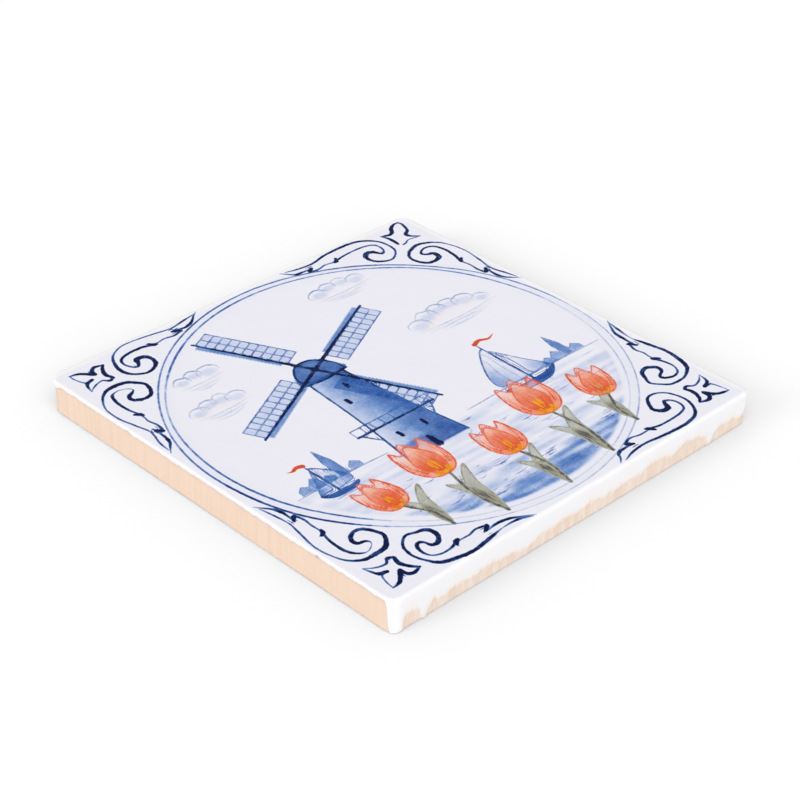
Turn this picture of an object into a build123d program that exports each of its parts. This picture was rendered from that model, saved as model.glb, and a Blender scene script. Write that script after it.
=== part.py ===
# Tin-glazed wall tile: one fired piece, a bare clay slab under a white glaze cap.
# The cap rolls over the top edge as a thin lip, and on the front side (-Y) the glaze
# has run down the wall as an apron with a dripping lower edge.
# Millimetres, +Z up, origin at the middle of the flat back, which rests at z = 0.
import os
from math import cos, pi, sin

from build123d import *

# Slab
SIDE = 130.0
THICKNESS = 10.0
CORNER_RADIUS = 3.5
ARRIS_RADIUS = 0.45

# Glaze cap: it stands proud of the bare clay walls by its own thickness
GLAZE_THICKNESS = 0.35
LIP_HEIGHT = 1.1
SHOULDER_RADIUS = 0.7
SHOULDER_LIMIT = 0.95

# Apron of run glaze on the front side, measured up from the back face
APRON_HEIGHT = 3.9
DRIP_DEPTH = 1.1
DRIP_COUNT = 9
DRIP_SWAY = 0.7
RUN_WIDTH = 5.0
RUN_FOOT = 0.6

half_side = SIDE / 2
lip_level = THICKNESS - LIP_HEIGHT
clay_side = SIDE - 2 * GLAZE_THICKNESS
clay_corner = CORNER_RADIUS - GLAZE_THICKNESS
shoulder = min(SHOULDER_RADIUS, SHOULDER_LIMIT * LIP_HEIGHT)


def drip_level(share):
    """Height of the apron's lower edge at a share of its width: a row of drips on a slow sway."""
    drips = cos(2 * pi * DRIP_COUNT * share)
    sway = sin(2 * pi * share) + sin(pi * DRIP_COUNT * share)
    return APRON_HEIGHT + DRIP_DEPTH * drips / 2 + DRIP_SWAY * sway / 2


# Apron: the wavy curtain of glaze, with the run that reaches the foot of the near corner,
# trimmed to the rounded outline of the tile
curtain_start = -half_side + RUN_WIDTH / 2
curtain_width = half_side - curtain_start
drip_shares = [step / (2 * DRIP_COUNT) for step in range(2 * DRIP_COUNT + 1)]
drip_points = [(curtain_start + curtain_width * share, drip_level(share)) for share in drip_shares]

with BuildPart() as apron:
    with BuildSketch(Plane.XZ.offset(half_side)):
        with BuildLine():
            lower_edge = Spline(*drip_points)
            Polyline(
                lower_edge @ 1,
                (half_side, lip_level),
                (curtain_start, lip_level),
                lower_edge @ 0,
            )
        make_face()
        with Locations((-half_side + RUN_WIDTH / 2, (RUN_FOOT + lip_level) / 2)):
            Rectangle(RUN_WIDTH, lip_level - RUN_FOOT)
    extrude(amount=-CORNER_RADIUS)
    with BuildSketch():
        RectangleRounded(SIDE, SIDE, CORNER_RADIUS)
    extrude(amount=lip_level, mode=Mode.INTERSECT)

# Cap: the glazed face with its rolled shoulder, a lip's height thick at the walls
with BuildPart() as cap:
    with BuildSketch(Plane.XY.offset(lip_level)):
        RectangleRounded(SIDE, SIDE, CORNER_RADIUS)
    extrude(amount=LIP_HEIGHT)
    fillet(cap.faces().sort_by(Axis.Z)[-1].edges(), shoulder)

# Tile: the clay slab with its softened bottom edge, the apron and the cap, fired into one piece
with BuildPart() as tile:
    with BuildSketch():
        RectangleRounded(clay_side, clay_side, clay_corner)
    extrude(amount=lip_level)
    fillet(tile.faces().sort_by(Axis.Z)[0].edges(), ARRIS_RADIUS)
    add(apron.part)
    add(cap.part)

tile.part.label = "tile"
os.makedirs("parts", exist_ok=True)
export_step(tile.part, "parts/tile.step")
print("tile volume in cubic centimetres:", round(tile.part.volume / 1000, 2))
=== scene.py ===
"""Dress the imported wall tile: its glazed and painted face, its bare clay, and the studio it is seen in.

The tile is one closed surface worked out with numpy. Its face, rolled shoulder, walls and back share
vertices, and every vertex carries the painting as fields in millimetres: the nearest point of a brush
line, the line's half width, and the density of each wash. The material turns these fields into pigment.
"""
import logging
import math
from dataclasses import dataclass, field
from enum import Enum
from typing import Callable, Sequence

import bpy
import numpy as np
from mathutils import Matrix, Vector


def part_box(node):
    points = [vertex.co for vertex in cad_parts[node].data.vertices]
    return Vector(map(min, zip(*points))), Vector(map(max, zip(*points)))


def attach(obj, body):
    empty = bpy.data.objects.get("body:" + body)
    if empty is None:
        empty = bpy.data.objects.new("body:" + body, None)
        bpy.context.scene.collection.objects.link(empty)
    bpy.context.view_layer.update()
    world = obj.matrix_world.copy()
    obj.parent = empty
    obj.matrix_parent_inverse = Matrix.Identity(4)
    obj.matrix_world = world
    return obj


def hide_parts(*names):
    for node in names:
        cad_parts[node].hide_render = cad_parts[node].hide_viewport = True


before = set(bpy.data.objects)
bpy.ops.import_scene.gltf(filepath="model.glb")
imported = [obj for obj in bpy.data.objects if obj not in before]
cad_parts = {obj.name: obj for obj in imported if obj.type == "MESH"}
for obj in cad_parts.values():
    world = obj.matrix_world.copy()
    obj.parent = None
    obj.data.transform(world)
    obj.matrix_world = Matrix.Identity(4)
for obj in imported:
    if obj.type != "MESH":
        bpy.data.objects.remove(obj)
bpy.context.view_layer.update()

LOG = logging.getLogger("tile")
MM = 0.001
NODE = "tile"
BODY = "root"
SEED = 1653
TINY = 1e-12

Point = tuple[float, float]
Placer = Callable[[Sequence[Point]], np.ndarray]


class Side(Enum):
    """The four walls, by the direction each one faces in the tile's plan."""

    FRONT = (0.0, -1.0)
    RIGHT = (1.0, 0.0)
    BACK = (0.0, 1.0)
    LEFT = (-1.0, 0.0)


class Brush(Enum):
    """The kinds of brush line; lines of one kind share one field, and other kinds may cross them."""

    SCROLL = "scroll"
    TAIL = "tail"
    RING = "ring"
    HOOP = "hoop"
    SCENE = "scene"
    PETAL = "petal"
    STEM = "stem"


class Wash(Enum):
    """The thinned pigments that fill shapes."""

    BLUE = "wash_blue"
    CORAL = "wash_coral"
    OCHRE = "wash_ochre"
    LEAF = "wash_leaf"


def smooth_step(low: float, high: float, value: np.ndarray) -> np.ndarray:
    """Ease from 0 at low to 1 at high with a cubic that is level at both ends.

    Args:
        low: Value at which the result is 0.
        high: Value at which the result is 1.
        value: Values to ease.

    Returns:
        The eased values, between 0 and 1.
    """
    share = np.clip((value - low) / (high - low), 0.0, 1.0)
    return share * share * (3.0 - 2.0 * share)


def ripple(places: np.ndarray, longest: float, shortest: float, seed: int, waves: int = 14) -> np.ndarray:
    """Sum plane waves of seeded directions, lengths and phases into an even, repeatable unevenness.

    Args:
        places: Points as an array of any shape with the coordinates last, in millimetres.
        longest: Longest wavelength in millimetres.
        shortest: Shortest wavelength in millimetres.
        seed: Seed of the directions, lengths and phases.
        waves: Number of waves.

    Returns:
        Values of about -1 to 1, one for each point.
    """
    draw = np.random.default_rng(seed)
    directions = draw.normal(size=(waves, places.shape[-1]))
    directions /= np.linalg.norm(directions, axis=1, keepdims=True)
    lengths = np.geomspace(longest, shortest, waves)
    phases = draw.uniform(0.0, 2.0 * math.pi, waves)
    angles = places @ (directions * (2.0 * math.pi / lengths)[:, None]).T + phases
    return np.sin(angles).sum(axis=-1) / math.sqrt(waves)


def smooth_path(controls: Sequence[Point], closed: bool = False, per_span: int = 8) -> np.ndarray:
    """Run a Catmull-Rom curve through control points, each span a cubic of its four nearest points.

    Args:
        controls: Points that the curve passes through, in millimetres.
        closed: Whether the curve joins its own start.
        per_span: Samples on each span.

    Returns:
        The sampled curve, one row a point.
    """
    points = np.asarray(controls, dtype=float)
    if closed:
        padded = np.concatenate([points[-1:], points, points[:2]])
    else:
        padded = np.concatenate([2 * points[:1] - points[1:2], points, 2 * points[-1:] - points[-2:-1]])
    spans = len(padded) - 3
    hulls = np.stack([padded[shift:shift + spans] for shift in range(4)], axis=1)
    step = np.arange(per_span) / per_span
    powers = np.stack([np.ones_like(step), step, step ** 2, step ** 3], axis=1)
    basis = 0.5 * np.array([[0, 2, 0, 0], [-1, 0, 1, 0], [2, -5, 4, -1], [-1, 3, -3, 1]], dtype=float)
    curve = np.einsum("sp,pq,nqd->nsd", powers, basis, hulls).reshape(-1, 2)
    return np.concatenate([curve, padded[-2:-1]])


def turned(
    points: Sequence[Point],
    angle: float,
    scale: float,
    place: Point,
    flip: bool = False,
) -> np.ndarray:
    """Flip, scale, turn and shift a motif's points from its own axes to the face.

    Args:
        points: Points in the motif's own axes.
        angle: Turn in degrees, anticlockwise.
        scale: Size factor.
        place: Where the motif's origin goes.
        flip: Whether the motif is mirrored left to right first.

    Returns:
        The points on the face.
    """
    local = np.asarray(points, dtype=float) * scale
    if flip:
        local = local * np.array([-1.0, 1.0])
    turn = math.radians(angle)
    spin = np.array([[math.cos(turn), math.sin(turn)], [-math.sin(turn), math.cos(turn)]])
    return local @ spin + np.asarray(place)


def along(count: int, *values: float) -> np.ndarray:
    """Spread values evenly along a line of the given number of points."""
    return np.interp(np.linspace(0.0, 1.0, count), np.linspace(0.0, 1.0, len(values)), values)


@dataclass
class LineField:
    """Brush lines of one kind, and the field that lets the material redraw them sharply.

    For each vertex the field holds the nearest point of a line and that line's half width. The nearest
    point of a straight run is a linear function of place, so between vertices it stays exact, and a line
    thinner than the mesh still has clean edges. The gap, distance less half width, shuts off the places
    where the nearest point jumps from one line to another.
    """

    reach: float = 2.4
    segments_at_once: int = 12
    far_gap: float = 6.0
    strokes: list[tuple[np.ndarray, np.ndarray, float]] = field(default_factory=list)

    def draw(self, points: np.ndarray, half_widths: Sequence[float], tone: float = 1.0) -> None:
        """Add one stroke.

        Args:
            points: The stroke's centre line, one row a point.
            half_widths: Half widths spread evenly along the stroke.
            tone: Strength of the pigment, about 0 to 1.
        """
        self.strokes.append((np.asarray(points), along(len(points), *half_widths), tone))

    def solve(self, places: np.ndarray) -> tuple[np.ndarray, np.ndarray, np.ndarray]:
        """Find the nearest stroke of every place: project it on each segment and keep the smallest gap.

        Args:
            places: Vertex places on the face, one row a vertex.

        Returns:
            Nearest point with half width as three columns, the gaps, and the tones.
        """
        nearest = np.column_stack([places, np.zeros(len(places))])
        gaps = np.full(len(places), self.far_gap)
        tones = np.zeros(len(places))
        for points, half_widths, tone in self.strokes:
            for first in range(0, len(points) - 1, self.segments_at_once):
                part = slice(first, min(first + self.segments_at_once + 1, len(points)))
                self._project(places, points[part], half_widths[part], tone, nearest, gaps, tones)
        return nearest, gaps, tones

    def _project(
        self,
        places: np.ndarray,
        points: np.ndarray,
        half_widths: np.ndarray,
        tone: float,
        nearest: np.ndarray,
        gaps: np.ndarray,
        tones: np.ndarray,
    ) -> None:
        """Project the places near a short run of a stroke on its segments, and keep what comes closer.

        Args:
            places: Vertex places on the face.
            points: Points of the run.
            half_widths: Half width at each point.
            tone: Strength of the run's pigment.
            nearest: Nearest points and half widths, updated in place.
            gaps: Gaps, updated in place.
            tones: Tones, updated in place.
        """
        low = points.min(axis=0) - self.reach
        high = points.max(axis=0) + self.reach
        chosen = np.flatnonzero(((places > low) & (places < high)).all(axis=1))
        if not len(chosen):
            return
        start = points[:-1]
        span = points[1:] - start
        length = np.maximum((span ** 2).sum(axis=1), TINY)
        offset = places[chosen][:, None, :] - start
        share = np.clip((offset * span).sum(axis=2) / length, 0.0, 1.0)
        foot = start + share[..., None] * span
        width = half_widths[:-1] + share * np.diff(half_widths)
        gap = np.linalg.norm(places[chosen][:, None, :] - foot, axis=2) - width
        best = gap.argmin(axis=1)
        rows = np.arange(len(chosen))
        closer = gap[rows, best] < gaps[chosen]
        kept, rows, best = chosen[closer], rows[closer], best[closer]
        nearest[kept, :2] = foot[rows, best]
        nearest[kept, 2] = width[rows, best]
        gaps[kept] = gap[rows, best]
        tones[kept] = tone


@dataclass
class WashField:
    """Washes of one pigment: soft shapes whose densities add up to at most one."""

    shapes: list[Callable[[np.ndarray], np.ndarray]] = field(default_factory=list)

    def fill(self, outline: np.ndarray, density: float, soft: float = 0.5) -> None:
        """Fill a closed outline with an even wash.

        Args:
            outline: Points of the outline, without a repeated end.
            density: Strength of the pigment inside.
            soft: Width over which the edge fades, in millimetres.
        """
        self.shapes.append(lambda places: density * inside_share(places, outline, soft))

    def shade(self, outline: np.ndarray, ends: tuple[Point, Point], densities: tuple[float, float],
              soft: float = 0.5) -> None:
        """Fill a closed outline with a wash that changes evenly from one place to another.

        Args:
            outline: Points of the outline.
            ends: The two places between which the density changes.
            densities: Density at each of them.
            soft: Width over which the edge fades.
        """
        start, end = (np.asarray(place, dtype=float) for place in ends)
        run = end - start

        def density(places: np.ndarray) -> np.ndarray:
            share = np.clip(((places - start) @ run) / (run @ run), 0.0, 1.0)
            strength = densities[0] + (densities[1] - densities[0]) * share
            return strength * inside_share(places, outline, soft)

        self.shapes.append(density)

    def blot(self, centre: Point, radii: Point, density: float, turn: float = 0.0) -> None:
        """Add an oval touch that fades from its middle to its rim.

        Args:
            centre: Middle of the touch.
            radii: Half length and half width.
            density: Strength at the middle.
            turn: Turn in degrees.
        """
        angle = math.radians(turn)
        axes = np.array([[math.cos(angle), -math.sin(angle)], [math.sin(angle), math.cos(angle)]])

        def touch(places: np.ndarray) -> np.ndarray:
            local = (places - np.asarray(centre)) @ axes / np.asarray(radii)
            return density * smooth_step(1.0, 0.35, np.linalg.norm(local, axis=1))

        self.shapes.append(touch)

    def solve(self, places: np.ndarray) -> np.ndarray:
        """Add up the densities of all shapes at every place."""
        total = np.zeros(len(places))
        for shape in self.shapes:
            total += shape(places)
        return np.clip(total, 0.0, 1.0)


def inside_share(places: np.ndarray, outline: np.ndarray, soft: float) -> np.ndarray:
    """Tell how far each place is inside an outline: signed distance to it, eased over the soft edge.

    Args:
        places: Places to test, one row a place.
        outline: Points of the closed outline.
        soft: Width of the edge in millimetres.

    Returns:
        0 outside to 1 inside, one value a place.
    """
    share = np.zeros(len(places))
    low = outline.min(axis=0) - soft
    high = outline.max(axis=0) + soft
    chosen = np.flatnonzero(((places > low) & (places < high)).all(axis=1))
    if not len(chosen):
        return share
    spot = places[chosen][:, None, :]
    start = outline
    end = np.roll(outline, -1, axis=0)
    span = end - start
    length = np.maximum((span ** 2).sum(axis=1), TINY)
    reach = np.clip(((spot - start) * span).sum(axis=2) / length, 0.0, 1.0)
    distance = np.linalg.norm(spot - start - reach[..., None] * span, axis=2).min(axis=1)
    crosses = (start[:, 1] > spot[..., 1]) != (end[:, 1] > spot[..., 1])
    rise = np.where(np.abs(span[:, 1]) < TINY, TINY, span[:, 1])
    at = start[:, 0] + (spot[..., 1] - start[:, 1]) * span[:, 0] / rise
    inside = (crosses & (spot[..., 0] < at)).sum(axis=1) % 2 == 1
    share[chosen] = smooth_step(-soft / 2, soft / 2, np.where(inside, distance, -distance))
    return share


class FacePainting:
    """Everything that is painted on the face: lines by brush and washes by pigment."""

    def __init__(self, half_side: float) -> None:
        """Start with a bare face.

        Args:
            half_side: Half the tile's side in millimetres.
        """
        self.half_side = half_side
        self.lines = {brush: LineField() for brush in Brush}
        self.washes = {wash: WashField() for wash in Wash}
        self.hand = np.random.default_rng(SEED)

    def line(self, brush: Brush, controls: Sequence[Point], half_widths: Sequence[float], tone: float = 1.0,
             shake: float = 0.0) -> None:
        """Draw a smooth line through control points.

        Args:
            brush: Kind of line.
            controls: Points that the line passes through.
            half_widths: Half widths spread along the line.
            tone: Strength of the pigment.
            shake: How far the hand strays from each point, in millimetres.
        """
        points = np.asarray(controls, dtype=float)
        points = points + self.hand.normal(0.0, 1.0, points.shape) * shake
        self.lines[brush].draw(smooth_path(points), half_widths, tone)

    def straight(self, brush: Brush, ends: Sequence[Point], half_widths: Sequence[float],
                 tone: float = 1.0) -> None:
        """Draw one straight line between two ends."""
        self.lines[brush].draw(np.asarray(ends, dtype=float), half_widths, tone)


@dataclass(frozen=True)
class VoluteHand:
    """How one volute was drawn: how far its tail lies out along the side, and the brush's half widths."""

    shift: float
    outer: tuple[float, ...]
    curl: tuple[float, ...]


BOLD_FOOT = VoluteHand(
    0.0,
    (0.2, 0.44, 0.16, 0.58, 0.56, 0.66, 0.62, 0.38, 0.4, 0.42, 0.38, 0.4, 0.46, 0.64, 0.7, 0.56),
    (0.6, 0.68, 0.62, 0.48, 0.42, 0.48, 0.52, 0.4, 0.32, 0.32, 0.38, 0.5),
)
BOLD_BULGE = VoluteHand(
    3.5,
    (0.18, 0.32, 0.28, 0.32, 0.3, 0.25, 0.34, 0.52, 0.76, 0.72, 0.62, 0.54, 0.56, 0.58, 0.56, 0.52),
    (0.48, 0.58, 0.6, 0.58, 0.48, 0.22, 0.18, 0.2, 0.44, 0.5, 0.38, 0.38),
)
BOLD_HOOK = VoluteHand(
    6.0,
    (0.2, 0.4, 0.4, 0.46, 0.52, 0.52, 0.48, 0.42, 0.38, 0.36, 0.32, 0.36, 0.42, 0.54, 0.58, 0.54),
    (0.6, 0.82, 0.86, 0.78, 0.52, 0.42, 0.36, 0.36, 0.36, 0.36, 0.36, 0.44),
)
FINE_SWEEP = VoluteHand(
    3.0,
    (0.2, 0.38, 0.32, 0.32, 0.28, 0.28, 0.32, 0.46, 0.58, 0.58, 0.48, 0.46, 0.52, 0.62, 0.64, 0.58),
    (0.6, 0.82, 0.86, 0.78, 0.52, 0.42, 0.36, 0.36, 0.42, 0.48, 0.52, 0.52),
)


@dataclass
class CornerScrolls:
    """The blue corner ornament: an outlined lily between two mirrored volutes with leafy tails.

    The points are distances in millimetres along one side from the corner, and away from that side.
    """

    outer: tuple[Point, ...] = (
        (48.0, 1.5), (44.0, 2.5), (39.0, 3.2), (34.0, 2.3), (28.0, 1.5), (23.0, 1.8), (19.0, 3.4),
        (16.7, 6.4), (15.8, 9.7), (16.4, 12.8), (17.9, 15.0), (20.0, 16.4), (22.7, 16.0), (25.0, 14.4),
        (25.8, 12.0), (24.9, 10.1),
    )
    curl: tuple[Point, ...] = (
        (25.6, 11.0), (24.6, 9.8), (23.1, 9.3), (21.9, 9.9), (21.4, 11.3), (20.4, 12.4), (19.1, 11.6),
        (18.3, 9.2), (19.2, 6.8), (21.5, 5.6), (24.5, 5.7), (27.2, 6.6),
    )
    tail: tuple[tuple[Point, ...], ...] = (
        ((26.4, 5.2), (27.0, 6.2), (28.6, 6.6), (31.0, 6.4), (34.0, 6.8), (36.6, 6.3)),
        ((34.9, 4.7), (36.3, 4.9), (39.5, 5.1), (43.0, 4.4), (46.0, 2.8), (48.6, 1.2)),
    )
    knots: tuple[tuple[Point, ...], ...] = (
        ((28.0, 7.0), (27.2, 6.6), (26.5, 5.5)),
        ((37.0, 6.3), (36.6, 5.7), (35.2, 4.8)),
    )
    lily: tuple[tuple[Point, ...], ...] = (
        ((4.0, 14.0), (6.4, 12.3), (9.0, 11.7), (10.7, 12.9), (12.2, 12.3)),
        ((12.2, 12.3), (11.6, 9.8), (12.6, 7.2), (14.1, 5.6)),
        ((14.1, 5.6), (11.7, 4.8), (10.1, 5.9), (9.7, 7.9), (8.0, 5.6), (6.1, 4.6), (4.2, 4.1)),
        ((4.2, 4.1), (4.4, 6.4), (5.4, 9.2), (7.4, 9.6), (5.4, 10.2), (4.5, 11.7), (4.0, 14.0)),
    )
    far_lily: tuple[tuple[Point, ...], ...] = (
        ((13.9, 4.9), (12.3, 5.6), (10.8, 5.9), (9.5, 5.0), (8.6, 3.4), (6.5, 2.4), (4.5, 2.2)),
        ((4.5, 2.2), (4.1, 3.2), (4.4, 4.6), (5.6, 7.3), (7.7, 9.0), (6.9, 10.6), (5.2, 12.3)),
        ((5.2, 12.3), (7.4, 11.9), (9.4, 11.8), (11.2, 12.6), (12.4, 12.7)),
        ((13.4, 11.7), (13.0, 9.8), (13.0, 8.0), (13.2, 6.6), (13.9, 4.9)),
    )
    lily_widths: tuple[tuple[float, ...], ...] = (
        (0.22, 0.3, 0.34, 0.46, 0.5),
        (0.5, 0.66, 0.52, 0.4),
        (0.3, 0.6, 0.56, 0.56, 0.62, 0.5, 0.22),
        (0.2, 0.24, 0.3, 0.56, 0.52, 0.36, 0.22),
    )
    far_lily_widths: tuple[tuple[float, ...], ...] = (
        (0.28, 0.52, 0.56, 0.66, 0.64, 0.42, 0.36),
        (0.36, 0.36, 0.42, 0.46, 0.64, 0.44, 0.24),
        (0.24, 0.26, 0.26, 0.3, 0.36),
        (0.4, 0.6, 0.56, 0.44, 0.28),
    )
    leaf_widths: tuple[tuple[float, ...], ...] = (
        (0.28, 0.25, 0.3, 0.34, 0.46),
        (0.28, 0.32, 0.54, 0.34, 0.14),
    )
    knot_widths: tuple[float, ...] = (0.46, 0.74, 0.46)
    hands: dict[Point, tuple[VoluteHand, VoluteHand]] = field(default_factory=lambda: {
        (-1.0, -1.0): (BOLD_FOOT, BOLD_BULGE),
        (1.0, -1.0): (BOLD_HOOK, BOLD_FOOT),
        (1.0, 1.0): (BOLD_HOOK, FINE_SWEEP),
        (-1.0, 1.0): (FINE_SWEEP, BOLD_BULGE),
    })
    shake: float = 0.16
    fine_shake: float = 0.08
    tail_start: Point = (19.0, 27.0)
    tail_end: Point = (54.0, 36.0)
    tail_rise: Point = (9.2, 7.2)

    def paint(self, painting: FacePainting) -> None:
        """Paint the ornament in all four corners, each volute with its own small slips of the hand."""
        for (across, upward), hands in self.hands.items():
            corner = np.array([across, upward]) * painting.half_side
            inward = -np.array([across, upward])
            for swap, hand in zip((False, True), hands):
                self._volute(painting, self._placer(corner, inward, swap), hand)
            place = self._placer(corner, inward, False)
            is_far = min(across, upward) > 0.0
            strokes = zip(self.far_lily, self.far_lily_widths) if is_far else zip(self.lily, self.lily_widths)
            for number, (stroke, widths) in enumerate(strokes):
                brush = Brush.TAIL if number % 2 else Brush.SCENE
                painting.line(brush, place(stroke), widths, 1.0, self.fine_shake)

    @staticmethod
    def _placer(corner: np.ndarray, inward: np.ndarray, swap: bool) -> Placer:
        """Make the function that carries corner distances to the face.

        Args:
            corner: The corner's place.
            inward: Direction into the face on both axes.
            swap: Whether the volute lies along the other side.

        Returns:
            The function from corner distances to places on the face.
        """
        def place(points: Sequence[Point]) -> np.ndarray:
            local = np.asarray(points, dtype=float)
            return corner + inward * (local[:, ::-1] if swap else local)

        return place

    def _volute(self, painting: FacePainting, place: Placer, hand: VoluteHand) -> None:
        """Paint one volute: its outer sweep into the curl, its inner edge, tail leaves and their knots.

        Args:
            painting: The face.
            place: The function from corner distances to places on the face.
            hand: How this volute was drawn.
        """
        painting.line(Brush.SCROLL, place(self.outer), hand.outer, 0.95, self.shake)
        curl = self._drawn_out(self.curl, hand.shift)
        painting.line(Brush.SCENE, place(curl), hand.curl, 1.0, self.fine_shake)
        for leaf, widths in zip(self.tail, self.leaf_widths):
            painting.line(Brush.TAIL, place(self._drawn_out(leaf, hand.shift)), widths, 0.95, self.shake)
        for knot in self.knots:
            points = self._drawn_out(knot, hand.shift)
            painting.line(Brush.SCROLL, place(points), self.knot_widths, 1.0, self.fine_shake)

    def _drawn_out(self, points: Sequence[Point], shift: float) -> np.ndarray:
        """Shift the middle of a volute's tail along its side, with its curl and its tip left in place."""
        drawn = np.array(points, dtype=float)
        reach, rise = drawn[:, 0].copy(), drawn[:, 1]
        in_tail = smooth_step(*self.tail_start, reach) * smooth_step(*self.tail_end, reach)
        drawn[:, 0] += shift * in_tail * smooth_step(*self.tail_rise, rise)
        return drawn


@dataclass(frozen=True)
class RingLine:
    """One line of the double ring: its brush, radius, half widths round it, strength and seed."""

    brush: Brush
    radius: float
    half_widths: tuple[float, ...]
    tone: float
    seed: int


@dataclass
class Roundel:
    """The double ring that frames the picture: two hand-turned lines with a pale wash between them.

    The pigment is stronger towards one side and faint towards another. Each span holds the cosines of the
    angles from that side between which the strength changes.
    """

    outer: RingLine = RingLine(Brush.RING, 62.6, (0.3, 0.36, 0.28, 0.34, 0.3, 0.32, 0.3), 0.93, 11)
    inner: RingLine = RingLine(Brush.HOOP, 60.4, (0.36, 0.3, 0.4, 0.34, 0.38, 0.3, 0.36), 0.74, 12)
    waver: float = 0.22
    pieces: int = 180
    stretch: int = 2
    strong_side: float = math.radians(200.0)
    strong_span: Point = (0.93, 0.985)
    strong_gain: float = 0.16
    faint_side: float = math.radians(288.0)
    faint_span: Point = (0.2, 0.47)
    faint_loss: float = 0.36
    mottling: float = 0.12
    strength_limits: Point = (0.35, 1.2)
    thinnest: float = 0.46
    swelling: float = 0.56
    band_density: float = 0.09
    fringe_density: float = 0.07
    fringe_width: float = 4.5

    def paint(self, painting: FacePainting) -> None:
        """Paint both lines in stretches of differing strength, then the wash."""
        for line in (self.outer, self.inner):
            self._ring(painting, line)
        middle = (self.outer.radius + self.inner.radius) / 2
        spread = (self.outer.radius - self.inner.radius) / 2

        def band(places: np.ndarray) -> np.ndarray:
            radius = np.linalg.norm(places, axis=1)
            between = smooth_step(spread + 0.5, spread - 0.4, np.abs(radius - middle))
            depth = self.inner.radius - radius
            fringe = smooth_step(self.fringe_width, 0.0, depth) * (depth > 0.0)
            return self.band_density * between + self.fringe_density * fringe

        painting.washes[Wash.BLUE].shapes.append(band)

    def _ring(self, painting: FacePainting, line: RingLine) -> None:
        """Paint one line of the ring, whose radius and strength waver a little.

        Args:
            painting: The face.
            line: The line.
        """
        turns = np.linspace(0.0, 2.0 * math.pi, self.pieces + 1)
        circle = np.column_stack([np.cos(turns), np.sin(turns)])
        reach = line.radius + self.waver * ripple(circle * line.radius, 160.0, 40.0, line.seed, waves=5)
        points = circle * reach[:, None]
        widths = along(len(points), *line.half_widths)
        strongest = np.array([math.cos(self.strong_side), math.sin(self.strong_side)])
        faintest = np.array([math.cos(self.faint_side), math.sin(self.faint_side)])
        strengths = line.tone + self.strong_gain * smooth_step(*self.strong_span, circle @ strongest)
        strengths -= self.faint_loss * smooth_step(*self.faint_span, circle @ faintest)
        strengths += self.mottling * ripple(circle * line.radius, 120.0, 24.0, line.seed + 5, waves=6)
        strengths = np.clip(strengths, *self.strength_limits)
        for first in range(0, self.pieces, self.stretch):
            part = slice(first, first + self.stretch + 1)
            strength = float(strengths[first])
            width = widths[part] * (self.thinnest + self.swelling * strength)
            painting.lines[line.brush].draw(points[part], width, strength)


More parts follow.
